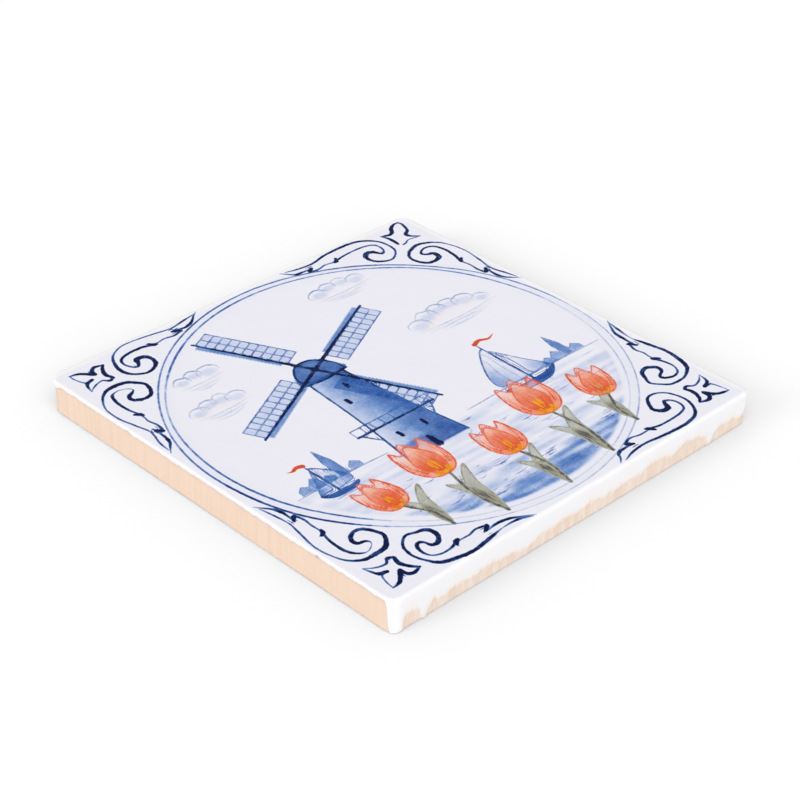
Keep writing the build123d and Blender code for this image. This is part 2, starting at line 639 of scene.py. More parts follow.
@dataclass
class Windmill:
    """A smock mill on its stage, seen from the front, with four latticed sails."""

    foot: Point = (-12.0, -27.0)
    size: float = 1.2
    hub: Point = (0.4, 39.0)
    sails: int = 4
    sail_turn: float = 27.0
    sail_root: float = 6.5
    sail_length: float = 28.5
    sail_width: float = 5.4
    sail_bars: int = 10
    body: tuple[Point, ...] = ((-8.8, 0.0), (-6.6, 16.0), (-4.7, 35.5), (4.7, 35.5), (6.6, 16.0), (8.8, 0.0))
    cap: tuple[Point, ...] = ((-5.6, 35.2), (-5.0, 39.5), (-1.8, 42.8), (2.4, 42.4), (5.4, 38.6), (5.9, 35.2))
    courses: int = 11
    windows: tuple[Point, ...] = ((-2.9, 24.0), (1.2, 29.0), (-3.4, 7.5), (3.6, 7.5))
    window_height: float = 1.7
    door: Point = (0.2, 0.2)
    door_height: float = 4.0
    stage_height: float = 13.0
    stage_reach: float = 11.0
    rail_height: float = 2.8
    posts: int = 9

    def paint(self, painting: FacePainting) -> None:
        """Paint the tower, the stage and the sails."""
        self._tower(painting)
        self._stage(painting)
        for sail in range(self.sails):
            self._sail(painting, self.sail_turn + 360.0 / self.sails * sail)

    def _at(self, points: Sequence[Point]) -> np.ndarray:
        """Carry the mill's own points to the face."""
        return np.asarray(points, dtype=float) * self.size + np.asarray(self.foot)

    def _tower(self, painting: FacePainting) -> None:
        """Paint the tower: outline, shaded side, courses, windows, door and the rounded cap."""
        body = self._at(self.body)
        blue = painting.washes[Wash.BLUE]
        left, right = self._at([(-7.0, 16.0), (6.6, 16.0)])
        blue.shade(body, (left, right), (0.2, 0.78))
        for side in (self.body[:3], self.body[3:]):
            painting.line(Brush.SCENE, self._at(side), (0.36, 0.3, 0.34), 0.95, 0.08)
        (top_half, top), (foot_half, _) = self.body[3], self.body[-1]
        for course in range(1, self.courses):
            share = course / self.courses
            height = top * share
            reach = foot_half + (top_half - foot_half) * share
            ends = self._at([(reach * 0.1, height), (reach * 0.86, height + 0.5)])
            painting.straight(Brush.SCENE, ends, (0.12, 0.3, 0.2), 0.85)
        cap = self._at(self.cap)
        blue.fill(smooth_path(cap, closed=True), 0.7)
        painting.line(Brush.SCENE, cap, (0.34, 0.4, 0.36), 1.0, 0.05)
        painting.line(Brush.SCENE, self._at([(-5.8, 35.2), (0.0, 34.6), (6.1, 35.2)]), (0.4, 0.46, 0.4), 1.0)
        for window in self._at(self.windows):
            ends = (window, window + np.array([0.0, self.window_height]))
            painting.straight(Brush.SCENE, ends, (0.62, 0.62))
        sill = self._at([self.door])[0]
        painting.straight(Brush.SCENE, (sill, sill + np.array([0.0, self.door_height])), (1.15, 0.8))

    def _stage(self, painting: FacePainting) -> None:
        """Paint the stage: deck, rail, posts and the struts that carry the deck."""
        deck = self.stage_height
        reach = self.stage_reach
        for height, width in ((deck, 0.42), (deck + self.rail_height, 0.22)):
            ends = self._at([(-reach, height), (reach, height)])
            painting.straight(Brush.SCENE, ends, (width, width * 1.2, width), 0.95)
        for share in np.linspace(-1.0, 1.0, self.posts):
            ends = self._at([(reach * share, deck), (reach * share, deck + self.rail_height)])
            painting.straight(Brush.SCENE, ends, (0.2, 0.2), 0.9)
        for side in (-1.0, 1.0):
            ends = self._at([(side * reach * 0.92, deck), (side * 7.4, deck - 4.6)])
            painting.straight(Brush.SCENE, ends, (0.3, 0.22), 0.9)

    def _sail(self, painting: FacePainting, angle: float) -> None:
        """Paint one sail: the spar, a board on its leading side, and a lattice on its trailing side."""
        hub = self._at([self.hub])[0]
        root, reach, width = self.sail_root, self.sail_length, self.sail_width

        def place(points: Sequence[Point]) -> np.ndarray:
            return turned(points, angle, self.size, tuple(hub))

        spar = place([(0.0, 0.0), (reach + 0.8, 0.0)])
        painting.straight(Brush.SCENE, spar, (0.62, 0.46, 0.36))
        cloth = place([(root, 0.0), (reach, 0.0), (reach, -width), (root, -width)])
        painting.washes[Wash.BLUE].fill(cloth, 0.24)
        board = place([(root + 1.0, 0.0), (reach - 0.5, 0.0), (reach - 0.5, 1.5), (root + 1.0, 1.2)])
        painting.washes[Wash.BLUE].fill(board, 0.5)
        for offset, tone in ((-width, 0.9), (-width / 2, 0.75)):
            hem = place([(root, offset), (reach, offset)])
            painting.straight(Brush.SCENE, hem, (0.24, 0.2, 0.24), tone)
        for across in np.linspace(root, reach, self.sail_bars + 1):
            painting.straight(Brush.SCENE, place([(across, 0.0), (across, -width)]), (0.24, 0.2), 0.85)


@dataclass
class Ship:
    """A sailing barge with a mainsail, a foresail and a pennant."""

    place: Point
    scale: float
    flip: bool = False
    hull: tuple[Point, ...] = (
        (-9.0, 2.6), (-6.4, 0.2), (0.0, -0.5), (6.0, 0.3), (9.6, 3.6), (5.6, 2.3), (-4.0, 1.9),
    )
    main: tuple[Point, ...] = (
        (0.2, 4.0), (0.6, 14.0), (0.9, 21.5), (-3.6, 17.2), (-8.0, 10.0), (-8.6, 5.2), (-4.0, 4.2),
    )
    fore: tuple[Point, ...] = ((1.6, 19.6), (2.8, 12.5), (2.6, 5.0), (6.0, 4.4), (9.0, 4.6), (5.6, 11.0))
    mast: tuple[Point, Point] = ((0.9, 2.0), (1.2, 24.5))
    seams: tuple[tuple[Point, ...], ...] = (
        ((-1.6, 4.6), (-1.3, 12.0), (-0.6, 19.0)),
        ((-4.6, 4.9), (-4.2, 10.5), (-2.6, 16.4)),
    )
    pennant: tuple[Point, ...] = ((1.2, 24.4), (3.6, 25.2), (6.4, 24.2), (9.0, 25.0))
    reflections: tuple[Point, ...] = ((-2.0, 7.0), (-3.4, 5.2), (-4.9, 3.2))

    def paint(self, painting: FacePainting) -> None:
        """Paint hull, mast, sails with their seams, pennant and the reflection under the hull."""
        blue = painting.washes[Wash.BLUE]
        hull = smooth_path(self._at(self.hull), closed=True)
        blue.fill(hull, 0.85, 0.4)
        painting.lines[Brush.SCENE].draw(hull, (0.26, 0.3, 0.26), 1.0)
        painting.straight(Brush.SCENE, self._at(self.mast), (0.36, 0.22))
        for sail, near, far in ((self.main, (0.6, 12.0), (-8.0, 8.0)), (self.fore, (2.4, 10.0), (8.0, 6.0))):
            outline = smooth_path(self._at(sail), closed=True, per_span=5)
            blue.shade(outline, tuple(self._at([near, far])), (0.1, 0.42))
            painting.lines[Brush.SCENE].draw(outline, (0.2, 0.28, 0.2), 0.85)
        for seam in self.seams:
            painting.line(Brush.SCENE, self._at(seam), (0.14, 0.18, 0.12), 0.6)
        painting.line(Brush.PETAL, self._at(self.pennant), (0.75, 0.6, 0.4, 0.12), 0.9)
        for depth, reach in self.reflections:
            ends = self._at([(-reach, depth), (reach * 0.8, depth)])
            painting.straight(Brush.SCENE, ends, (0.1, 0.34, 0.1), 0.55)

    def _at(self, points: Sequence[Point]) -> np.ndarray:
        """Carry the ship's own points to the face."""
        return turned(points, 0.0, self.scale, self.place, self.flip)


@dataclass(frozen=True)
class Gable:
    """A kind of gabled building: its half width, the share of its height under the eaves, wash and line."""

    half_width: float
    eaves: float
    density: float
    line: tuple[float, ...]
    tone: float


HOUSE = Gable(1.8, 0.55, 0.45, (0.18, 0.22, 0.18), 0.75)
SPIRE = Gable(1.3, 0.55, 0.55, (0.2, 0.24, 0.2), 0.8)


@dataclass(frozen=True)
class CloudBank:
    """A bank of cloud: its middle, its half length and its number of puffs."""

    centre: Point
    reach: float
    puffs: int


@dataclass
class Waterside:
    """The water with its ripples, the far shore with its roofs, and the clouds over it."""

    horizon: float = -21.0
    radius: float = 59.2
    ripples: int = 120
    ripple_span: float = 33.0
    shallow: float = 0.06
    streaks: float = 0.16
    deep: float = 0.5
    deep_span: Point = (-40.0, -60.0)
    shores: tuple[Point, ...] = ((-54.0, -24.0), (4.0, 54.5))
    houses: tuple[Point, ...] = (
        (-50.0, 3.4), (-46.2, 4.6), (-42.4, 3.0), (-33.6, 3.6), (37.0, 3.2), (40.6, 4.4), (47.6, 3.6),
    )
    spires: tuple[Point, ...] = ((-38.0, 13.0), (44.2, 11.0))
    ground: float = 0.3
    banks: tuple[CloudBank, ...] = (
        CloudBank((36.0, 15.0), 14.0, 6),
        CloudBank((22.0, 46.0), 9.0, 4),
        CloudBank((-41.0, 23.0), 8.0, 4),
        CloudBank((-37.0, 37.0), 6.5, 3),
    )

    def paint(self, painting: FacePainting) -> None:
        """Paint sky, shore and water."""
        self._clouds(painting)
        self._shore(painting)
        self._water(painting)

    def _water(self, painting: FacePainting) -> None:
        """Wash the water darker towards the foot of the ring, and lay level ripples over it."""
        def depth(places: np.ndarray) -> np.ndarray:
            below = smooth_step(self.horizon + 0.5, self.horizon - 1.5, places[:, 1])
            inside = smooth_step(self.radius, self.radius - 1.5, np.linalg.norm(places, axis=1))
            streak = 0.5 + 0.5 * ripple(places * np.array([0.16, 1.0]), 9.0, 2.2, 31)
            foot = smooth_step(*self.deep_span, places[:, 1]) * (0.4 + 0.6 * streak)
            return below * inside * (self.shallow + self.streaks * streak + self.deep * foot)

        painting.washes[Wash.BLUE].shapes.append(depth)
        draw = np.random.default_rng(SEED + 1)
        for _ in range(self.ripples):
            height = self.horizon - 2.0 - self.ripple_span * draw.random() ** 0.85
            reach = math.sqrt(max(self.radius ** 2 - height ** 2, 1.0)) - 4.0
            middle = draw.uniform(-reach, reach)
            length = draw.uniform(1.5, 7.0)
            ends = np.clip([middle - length / 2, middle + length / 2], -reach, reach)
            sag = draw.uniform(0.1, 0.5)
            path = [(ends[0], height), (middle, height - sag), (ends[1], height + 0.1)]
            width = draw.uniform(0.12, 0.34)
            painting.line(Brush.SCENE, path, (0.05, width, 0.05), draw.uniform(0.3, 0.85))

    def _shore(self, painting: FacePainting) -> None:
        """Paint the far shore: a low line, gabled roofs and a church spire at each end of the view."""
        for start, end in self.shores:
            middle = (0.5 * (start + end), self.horizon + 0.5)
            shore = [(start, self.horizon), middle, (end, self.horizon)]
            painting.line(Brush.SCENE, shore, (0.16, 0.34, 0.16), 0.7)
        for kind, places in ((HOUSE, self.houses), (SPIRE, self.spires)):
            for centre, height in places:
                self._gable(painting, kind, centre, height)

    def _gable(self, painting: FacePainting, kind: Gable, centre: float, height: float) -> None:
        """Paint one gabled building on the shore.

        Args:
            painting: The face.
            kind: The building's kind.
            centre: Its place along the shore.
            height: Its height.
        """
        half, eaves = kind.half_width, kind.eaves * height
        front = np.array([(-half, 0.0), (-half, eaves), (0.0, height), (half, eaves), (half, 0.0)])
        outline = front + np.array([centre, self.horizon + self.ground])
        painting.washes[Wash.BLUE].fill(outline, kind.density, 0.4)
        painting.lines[Brush.SCENE].draw(outline, kind.line, kind.tone)

    def _clouds(self, painting: FacePainting) -> None:
        """Paint clouds: rows of arcs along a rising crown, with a pale wash under each row."""
        blue, coral = painting.washes[Wash.BLUE], painting.washes[Wash.CORAL]
        draw = np.random.default_rng(SEED + 2)
        for bank in self.banks:
            middle, reach = np.asarray(bank.centre), bank.reach
            for puff in range(bank.puffs):
                share = (puff + 0.5) / bank.puffs * 2.0 - 1.0
                size = reach / bank.puffs * draw.uniform(1.15, 1.6)
                crown = middle + np.array([share * reach, (1.0 - share * share) * reach * 0.34])
                turns = np.radians(np.linspace(-20.0, 195.0, 9) + draw.uniform(-12.0, 12.0))
                arc = crown + size * np.column_stack([np.cos(turns), 0.86 * np.sin(turns)])
                painting.line(Brush.SCENE, arc, (0.1, 0.34, 0.26, 0.1), draw.uniform(0.35, 0.6), 0.1)
                blue.blot(tuple(crown - np.array([0.0, 0.3])), (size * 1.15, size * 0.8), 0.2)
                coral.blot(tuple(crown - np.array([0.0, size * 0.8])), (size * 1.2, size * 0.5), 0.1)
            for level in range(3):
                run = reach * (1.1 - 0.25 * level)
                base = middle - np.array([0.0, 1.4 + 1.5 * level])
                path = [base + np.array(step) for step in ((-run, 0.0), (0.0, -0.5), (run, 0.1))]
                painting.line(Brush.SCENE, path, (0.06, 0.24, 0.2, 0.06), 0.4, 0.15)


@dataclass
class Tulip:
    """A garden tulip: a cup of overlapping petals on a long stem with strap leaves."""

    head: Point
    foot: Point
    lean: float
    scale: float
    flip: bool = False
    cup: tuple[Point, ...] = (
        (0.0, 0.0), (3.6, 1.2), (5.6, 5.0), (5.4, 9.6), (4.2, 14.0), (2.6, 11.4), (0.2, 15.2),
        (-2.4, 11.4), (-4.6, 13.8), (-5.6, 9.4), (-5.4, 4.8), (-3.4, 1.1),
    )
    front: tuple[Point, ...] = (
        (0.0, 0.2), (2.7, 3.2), (3.3, 7.0), (1.6, 11.2), (0.0, 13.4), (-1.9, 11.0), (-3.3, 7.0), (-2.6, 3.1),
    )
    leaf: tuple[Point, ...] = ((0.0, 0.0), (2.6, 5.0), (4.6, 12.0), (8.0, 18.6), (3.0, 14.6), (-0.4, 8.0))
    rib: tuple[Point, ...] = ((0.3, 1.0), (2.2, 8.0), (6.6, 16.6))
    bend: float = 1.6

    def paint(self, painting: FacePainting) -> None:
        """Paint stem and leaves first, then the cup over them."""
        self._stem(painting)
        self._cup(painting)

    def _at(self, points: Sequence[Point]) -> np.ndarray:
        """Carry the cup's own points to the face."""
        return turned(points, self.lean, self.scale, self.head, self.flip)

    def _stem(self, painting: FacePainting) -> None:
        """Paint the stem as one bowed stroke, and two leaves that spring from its foot."""
        head, foot = np.asarray(self.head), np.asarray(self.foot)
        bow = 0.5 * (head + foot) + np.array([-self.bend if self.flip else self.bend, 0.0])
        painting.line(Brush.STEM, [tuple(foot), tuple(bow), tuple(head)], (0.5, 0.46, 0.42), 0.95)
        for size, turn, mirrored in ((0.92, 8.0, False), (0.74, -10.0, True)):
            start = tuple(foot + np.array([0.0, 0.4]))
            outline = smooth_path(turned(self.leaf, turn, size * self.scale, start, mirrored), closed=True)
            painting.washes[Wash.LEAF].shade(outline, (start, tuple(outline[len(outline) // 2])), (0.56, 0.3))
            painting.lines[Brush.STEM].draw(outline, (0.2, 0.3, 0.2), 0.9)
            rib = turned(self.rib, turn, size * self.scale, start, mirrored)
            painting.line(Brush.STEM, rib, (0.26, 0.2, 0.1), 0.75)

    def _cup(self, painting: FacePainting) -> None:
        """Paint the cup: back petals pale, front petal deep at its base, veins, and an ochre calyx."""
        coral = painting.washes[Wash.CORAL]
        cup = smooth_path(self._at(self.cup), closed=True, per_span=6)
        front = smooth_path(self._at(self.front), closed=True, per_span=6)
        base, tip = (tuple(place) for place in self._at([(0.0, 0.5), (0.0, 13.5)]))
        coral.shade(cup, (base, tip), (0.62, 0.26), 0.45)
        coral.shade(front, (base, tip), (0.5, 0.12), 0.45)
        painting.lines[Brush.PETAL].draw(cup, (0.24, 0.34, 0.22, 0.3, 0.24), 0.8)
        painting.lines[Brush.PETAL].draw(front, (0.22, 0.3, 0.22), 0.7)
        for shift in (-1.3, 0.0, 1.3):
            vein = self._at([(shift * 0.5, 1.8), (shift * 1.1, 5.4), (shift * 0.9, 9.6)])
            painting.line(Brush.PETAL, vein, (0.34, 0.2, 0.06), 0.9)
        for side in (-1.0, 1.0):
            vein = self._at([(side * 3.6, 3.0), (side * 4.6, 6.6), (side * 4.3, 10.6)])
            painting.line(Brush.PETAL, vein, (0.3, 0.22, 0.06), 0.8)
        for place, radii in (((0.0, 1.4), (3.4, 1.7)), ((0.0, 4.2), (1.3, 2.6))):
            spot = tuple(self._at([place])[0])
            size = (radii[0] * self.scale, radii[1] * self.scale)
            painting.washes[Wash.OCHRE].blot(spot, size, 0.95, self.lean)


@dataclass(frozen=True)
class WallGlaze:
    """How the glaze comes over one wall: its roll, its lower edge, its white rim and how ragged it ran."""

    shoulder_width: float
    shoulder_drop: float
    level: float
    unevenness: float
    rim_width: float
    raggedness: float


@dataclass(frozen=True)
class Run:
    """A tongue of glaze, or a bare gap, in the front wall's glaze: where it is and how it moves the edge."""

    centre: float
    width: float
    shift: float


@dataclass(frozen=True)
class CornerDrop:
    """A corner where the glaze hangs lower: its signs in the plan, its reach, its level and its shift."""

    signs: Point
    reach: float
    level: float
    shift: Point = (0.0, 0.0)


@dataclass(frozen=True)
class LipFlaw:
    """A spot where the left lip is nicked: its place along the wall, its half width and its strength."""

    place: float
    half_width: float
    strength: float


@dataclass
class TileForm:
    """The tile's one closed surface: face, rolled shoulder, walls with run glaze, arris and back."""

    side: float
    thickness: float
    corner_radii: dict[Point, float] = field(default_factory=lambda: {
        (-1.0, -1.0): 3.0,
        (1.0, -1.0): 2.0,
        (1.0, 1.0): 3.5,
        (-1.0, 1.0): 4.0,
    })
    inner_inset: float = 2.7
    inner_roundness: float = 0.63
    glaze_thickness: float = 0.34
    glazed_inset: float = 0.05
    clearance: float = 0.02
    arris: float = 0.3
    face_dip: float = 0.09
    deepest_dip: float = 0.3
    face_swell: float = 0.035
    face_dimples: float = 0.012
    quarter_oval: float = 0.785
    shoulder_wander: float = 0.12
    clay_grain: float = 0.03
    bead: float = 0.05
    lowest_level: float = -0.6
    far_height: float = 9.0
    hiding: float = 2.4
    hiding_start: float = 0.5
    bake_face: float = 0.8
    bake_border: float = 6.0
    bake_margin: float = 0.008
    bake_strip: float = 0.088
    face_lines: int = 256
    shoulder_rows: int = 10
    wall_rows: int = 14
    arris_rows: int = 3
    back_scales: tuple[float, ...] = (0.97, 0.8, 0.45)
    walls: dict[Side, WallGlaze] = field(default_factory=lambda: {
        Side.FRONT: WallGlaze(1.0, 1.0, 3.6, 0.5, 1.3, 1.0),
        Side.RIGHT: WallGlaze(0.6, 0.6, 8.8, 0.12, 2.9, 0.1),
        Side.BACK: WallGlaze(0.6, 0.6, 8.8, 0.12, 2.9, 0.1),
        Side.LEFT: WallGlaze(0.55, 0.55, 8.7, 0.18, 0.05, 0.1),
    })
    runs: tuple[Run, ...] = (
        Run(-54.8, 1.6, -4.2), Run(-59.5, 1.6, 0.6), Run(-49.0, 2.5, -1.2), Run(-29.0, 1.2, -0.8),
        Run(-20.5, 3.0, -2.1), Run(-7.0, 4.0, 0.3), Run(2.0, 1.4, 0.7), Run(7.0, 1.6, -0.8),
        Run(11.0, 14.0, -0.3), Run(34.0, 1.2, -0.8), Run(28.5, 6.0, 1.7), Run(40.0, 5.0, 0.8),
        Run(49.3, 1.5, -3.9), Run(62.0, 2.5, -1.2),
    )
    corner_drops: tuple[CornerDrop, ...] = (
        CornerDrop((-1.0, -1.0), 2.7, -0.6, (1.3, 0.0)),
        CornerDrop((-1.0, 1.0), 5.5, 7.7),
        CornerDrop((1.0, 1.0), 5.0, 8.0),
    )
    flaws: tuple[LipFlaw, ...] = (LipFlaw(-39.5, 0.8, 1.0), LipFlaw(-13.0, 0.5, 0.5), LipFlaw(31.0, 0.6, 0.6))

    def build(self, painting: FacePainting) -> bpy.types.Object:
        """Make the mesh and give it its fields.

        Args:
            painting: What is painted on the face.

        Returns:
            The tile's object, at the origin, with its place in its mesh.
        """
        face, ring = self._face()
        rows, glaze, unfolded = self._band()
        places, faces = self._join(face, ring, rows)
        mesh = bpy.data.meshes.new("tile_surface")
        mesh.from_pydata((places * MM).tolist(), [], faces)
        mesh.polygons.foreach_set("use_smooth", np.ones(len(mesh.polygons), dtype=bool))
        self._fields(mesh, places, len(face), glaze, painting)
        self._bake_layout(mesh, places, len(face), unfolded)
        mesh.validate()
        mesh.update()
        LOG.info("tile surface: %d vertices, %d faces", len(mesh.vertices), len(mesh.polygons))
        piece = bpy.data.objects.new("glazed_tile", mesh)
        bpy.context.scene.collection.objects.link(piece)
        return piece

    @staticmethod
    def _outline(across: np.ndarray, upward: np.ndarray, half: np.ndarray, radius: np.ndarray) -> np.ndarray:
        """Lay square parameters on rounded squares, evenly by arc length along each side.

        Half a side is a straight run and then an eighth of a circle. The larger parameter picks the side,
        and the other one, as a share of it, says how far along that half side the point lies.

        Args:
            across: First parameter, -1 to 1.
            upward: Second parameter, -1 to 1.
            half: Half size of the rounded square of each point.
            radius: Corner radius of the rounded square of each point.

        Returns:
            Points in the plan, coordinates last.
        """
        size = np.maximum(np.abs(across), np.abs(upward))
        small = np.minimum(np.abs(across), np.abs(upward))
        share = small / np.maximum(size, TINY)
        straight = half - radius
        reach = share * (straight + radius * math.pi / 4)
        beyond = np.maximum(reach - straight, 0.0)
        angle = beyond / np.maximum(radius, TINY)
        along_side = np.where(beyond > 0.0, straight + radius * np.sin(angle), reach)
        outward = np.where(beyond > 0.0, straight + radius * np.cos(angle), half)
        wide = np.abs(across) > np.abs(upward)
        x = np.where(wide, outward, along_side) * np.sign(across)
        y = np.where(wide, along_side, outward) * np.sign(upward)
        return np.stack([x, y], axis=-1)

    def _face(self) -> tuple[np.ndarray, np.ndarray]:
        """Lay out the face as a grid whose outer lines round off, a little uneven in height.

        Returns:
            The face's points row by row, and the indices of its rim anticlockwise.
        """
        count = self.face_lines
        line = np.linspace(-1.0, 1.0, count)
        across, upward = np.meshgrid(line, line)
        size = np.maximum(np.abs(across), np.abs(upward))
        half = size * (self.side / 2 - self.inner_inset)
        radius = self.inner_roundness * self._corner_radius(across, upward) * smooth_step(0.84, 1.0, size)
        plan = self._outline(across, upward, half, radius).reshape(-1, 2)
        points = np.column_stack([plan, self._face_height(plan)])
        index = np.arange(count * count).reshape(count, count)
        ring = np.concatenate([index[0, :-1], index[:-1, -1], index[-1, :0:-1], index[:0:-1, 0]])
        return points, ring

    def _corner_radius(self, across: np.ndarray, upward: np.ndarray) -> np.ndarray:
        """Radius of the corner nearest to each pair of square parameters."""
        radius = np.zeros_like(across)
        for (side, end), value in self.corner_radii.items():
            radius[(across * side >= 0.0) & (upward * end >= 0.0)] = value
        return radius

    def _face_height(self, plan: np.ndarray) -> np.ndarray:
        """Height of the glazed face: the thickness less an unevenness of about a tenth of a millimetre."""
        swell = self.face_swell * ripple(plan, 70.0, 14.0, 41)
        dimples = self.face_dimples * ripple(plan, 9.0, 3.0, 42)
        dip = np.clip(self.face_dip + swell + dimples, 0.0, self.deepest_dip)
        return self.thickness - self.clearance - dip

    def _rim_parameters(self) -> tuple[np.ndarray, np.ndarray]:
        """Square parameters of the rim's columns, anticlockwise from the near corner."""
        line = np.linspace(-1.0, 1.0, self.face_lines)
        low = np.full(self.face_lines - 1, -1.0)
        across = np.concatenate([line[:-1], -low, line[:0:-1], low])
        upward = np.concatenate([low, line[:-1], -low, line[:0:-1]])
        return across, upward

    def _glaze_level(self, outer: np.ndarray, facing: dict[Side, np.ndarray]) -> np.ndarray:
        """Height of the glaze's lower edge on each column of the walls.

        Each wall has its own level with a fine unevenness along it; the front wall's runs and gaps are
        bell curves about their places; at some corners the glaze hangs lower, at the near one to the foot.

        Args:
            outer: The columns' places on the outline.
            facing: How far each column faces each side.

        Returns:
            Heights above the back, one a column.
        """
        streaks = ripple(outer, 8.0, 1.3, 51, waves=18)
        slow = ripple(outer, 60.0, 12.0, 52)
        level = np.zeros(len(outer))
        for side, weight in facing.items():
            wall = self.walls[side]
            edge = wall.level + wall.unevenness * (0.75 * streaks + 0.6 * slow)
            if side is Side.FRONT:
                for run in self.runs:
                    edge = edge + run.shift * np.exp(-(((outer[:, 0] - run.centre) / run.width) ** 2))
            level += weight * edge
        for drop in self.corner_drops:
            corner = np.array(drop.signs) * self.side / 2 + np.array(drop.shift)
            near = smooth_step(drop.reach, 0.6 * drop.reach, np.linalg.norm(outer - corner, axis=1))
            level = level + (drop.level - level) * near
        return np.clip(level, self.lowest_level, self.thickness)

    def _blend(self, facing: dict[Side, np.ndarray], value: Callable[[WallGlaze], float]) -> np.ndarray:
        """Blend one value of the walls' glaze by how far each column faces each side."""
        return sum(value(self.walls[side]) * weight for side, weight in facing.items())

    def _profile(self, width: np.ndarray, drop: np.ndarray,
                 top: np.ndarray) -> tuple[np.ndarray, np.ndarray]:
        """Run the fully glazed profile down every column: shoulder, upright wall and arris.

        Args:
            width: Width of each column's shoulder.
            drop: Height of each column's shoulder.
            top: Height of the face's rim at each column.

        Returns:
            Insets from the outline and heights above the back, one row for each row of the band.
        """
        full = np.ones_like(top)
        insets, heights = [], []
        level_run = self.inner_inset - width
        rolled_run = self.quarter_oval * (width + drop)
        for share in np.linspace(0.0, 1.0, self.shoulder_rows + 1)[1:]:
            gone = share * (level_run + rolled_run)
            turn = np.clip((gone - level_run) / rolled_run, 0.0, 1.0) * (math.pi / 2)
            rolled = self.glazed_inset + (width - self.glazed_inset) * (1.0 - np.sin(turn))
            insets.append(np.where(gone < level_run, self.inner_inset - gone, rolled))
            heights.append(top - drop * (1.0 - np.cos(turn)))
        foot = top - drop
        for share in np.linspace(0.0, 1.0, self.wall_rows + 1)[1:]:
            insets.append(full * self.glazed_inset)
            heights.append(foot + (self.arris - foot) * share)
        for turn in np.linspace(0.0, math.pi / 2, self.arris_rows + 1)[1:]:
            insets.append(full * (self.glazed_inset + self.arris * (1.0 - math.cos(turn))))
            heights.append(full * self.arris * (1.0 - math.sin(turn)))
        return np.array(insets), np.array(heights)

    def _band(self) -> tuple[np.ndarray, dict[str, np.ndarray], np.ndarray]:
        """Carry the wall's profile round the rim: shoulder, wall, arris and the flat edge of the back.

        The shoulder is a quarter of an oval, as wide and deep as the glaze on that side. The wall stands
        back by the glaze's thickness where it is bare. Each point lies between the rounded outline and the
        face's rim, by its inset as a share of the rim's.

        Returns:
            Rows of points under the rim, their glaze fields by name, and the distance run from the rim down
            each column.
        """
        across, upward = self._rim_parameters()
        full = np.ones_like(across)
        half = self.side / 2
        radius = self._corner_radius(across, upward)
        outer = self._outline(across, upward, full * (half - self.clearance), radius)
        inner = self._outline(across, upward, full * (half - self.inner_inset), self.inner_roundness * radius)
        straight = (half - radius)[:, None]
        facing_out = outer - np.clip(outer, -straight, straight)
        facing_out /= np.linalg.norm(facing_out, axis=1, keepdims=True)
        facing = {side: np.clip(facing_out @ np.array(side.value), 0.0, 1.0) ** 2 for side in Side}
        wander = 1.0 + self.shoulder_wander * ripple(outer, 40.0, 6.0, 61)
        width = self._blend(facing, lambda wall: wall.shoulder_width) * wander
        drop = self._blend(facing, lambda wall: wall.shoulder_drop) * wander
        top = self._face_height(inner)
        inset, height = self._profile(width, drop, top)
        above = height - self._glaze_level(outer, facing)
        spots = np.broadcast_to(outer, (*height.shape, 2))
        surface = np.concatenate([spots, height[..., None]], axis=-1)
        bare = smooth_step(0.7, -0.7, above)
        bead = self.bead * np.exp(-((above - 0.2) / 0.5) ** 2) * (height < top - drop + 0.1)
        rough = self.clay_grain * ripple(surface, 3.0, 0.9, 71)
        inset = inset + bare * (self.glaze_thickness + rough) - bead * (inset > 0.06) * bare
        rim_width = self._blend(facing, lambda wall: wall.rim_width)
        ragged = self._blend(facing, lambda wall: wall.raggedness)
        nicks = np.zeros(len(outer))
        for flaw in self.flaws:
            nicks += flaw.strength * np.exp(-((outer[:, 1] - flaw.place) / flaw.half_width) ** 2)
        glaze = {
            "lip_flaw": nicks * facing[Side.LEFT] * np.exp(-((above - 0.35) / 0.4) ** 2),
            "glaze_height": above,
            "glaze_ragged": np.broadcast_to(ragged, above.shape),
            "rim_share": inset / rim_width,
        }
        share = np.maximum(inset, 0.0)[..., None] / self.inner_inset
        plan = outer * (1.0 - share) + inner * share
        rows = np.concatenate([plan, height[..., None]], axis=-1)
        start = np.concatenate([inner, top[:, None]], axis=-1)[None]
        steps = np.linalg.norm(np.diff(np.concatenate([start, rows]), axis=0), axis=-1)
        return rows, glaze, np.cumsum(steps, axis=0)

    def _join(self, face: np.ndarray, ring: np.ndarray,
              rows: np.ndarray) -> tuple[np.ndarray, list[list[int]]]:
        """Stitch face, band and back into one closed surface, with a pole at the middle of the back.

        Args:
            face: The face's points.
            ring: Indices of its rim.
            rows: Rows of the band.

        Returns:
            All points, and the faces as lists of indices.
        """
        count = self.face_lines
        columns = len(ring)
        scales = np.array(self.back_scales)[:, None, None]
        back = rows[-1][None] * np.concatenate([np.repeat(scales, 2, axis=2), np.zeros_like(scales)], axis=2)
        pole = np.zeros((1, 3))
        places = np.concatenate([face, rows.reshape(-1, 3), back.reshape(-1, 3), pole])
        grid = np.arange(count * count).reshape(count, count)
        corners = (grid[:-1, :-1], grid[:-1, 1:], grid[1:, 1:], grid[1:, :-1])
        quads = [np.stack(corners, axis=-1).reshape(-1, 4)]
        levels = np.arange(len(rows) + len(back))[:, None] * columns + len(face) + np.arange(columns)
        levels = np.concatenate([ring[None], levels])
        after = np.roll(levels, -1, axis=1)
        quads.append(np.stack([levels[:-1], levels[1:], after[1:], after[:-1]], axis=-1).reshape(-1, 4))
        last = np.full(columns, len(places) - 1)
        fan = np.stack([levels[-1], last, after[-1]], axis=-1)
        return places, np.concatenate(quads).tolist() + fan.tolist()

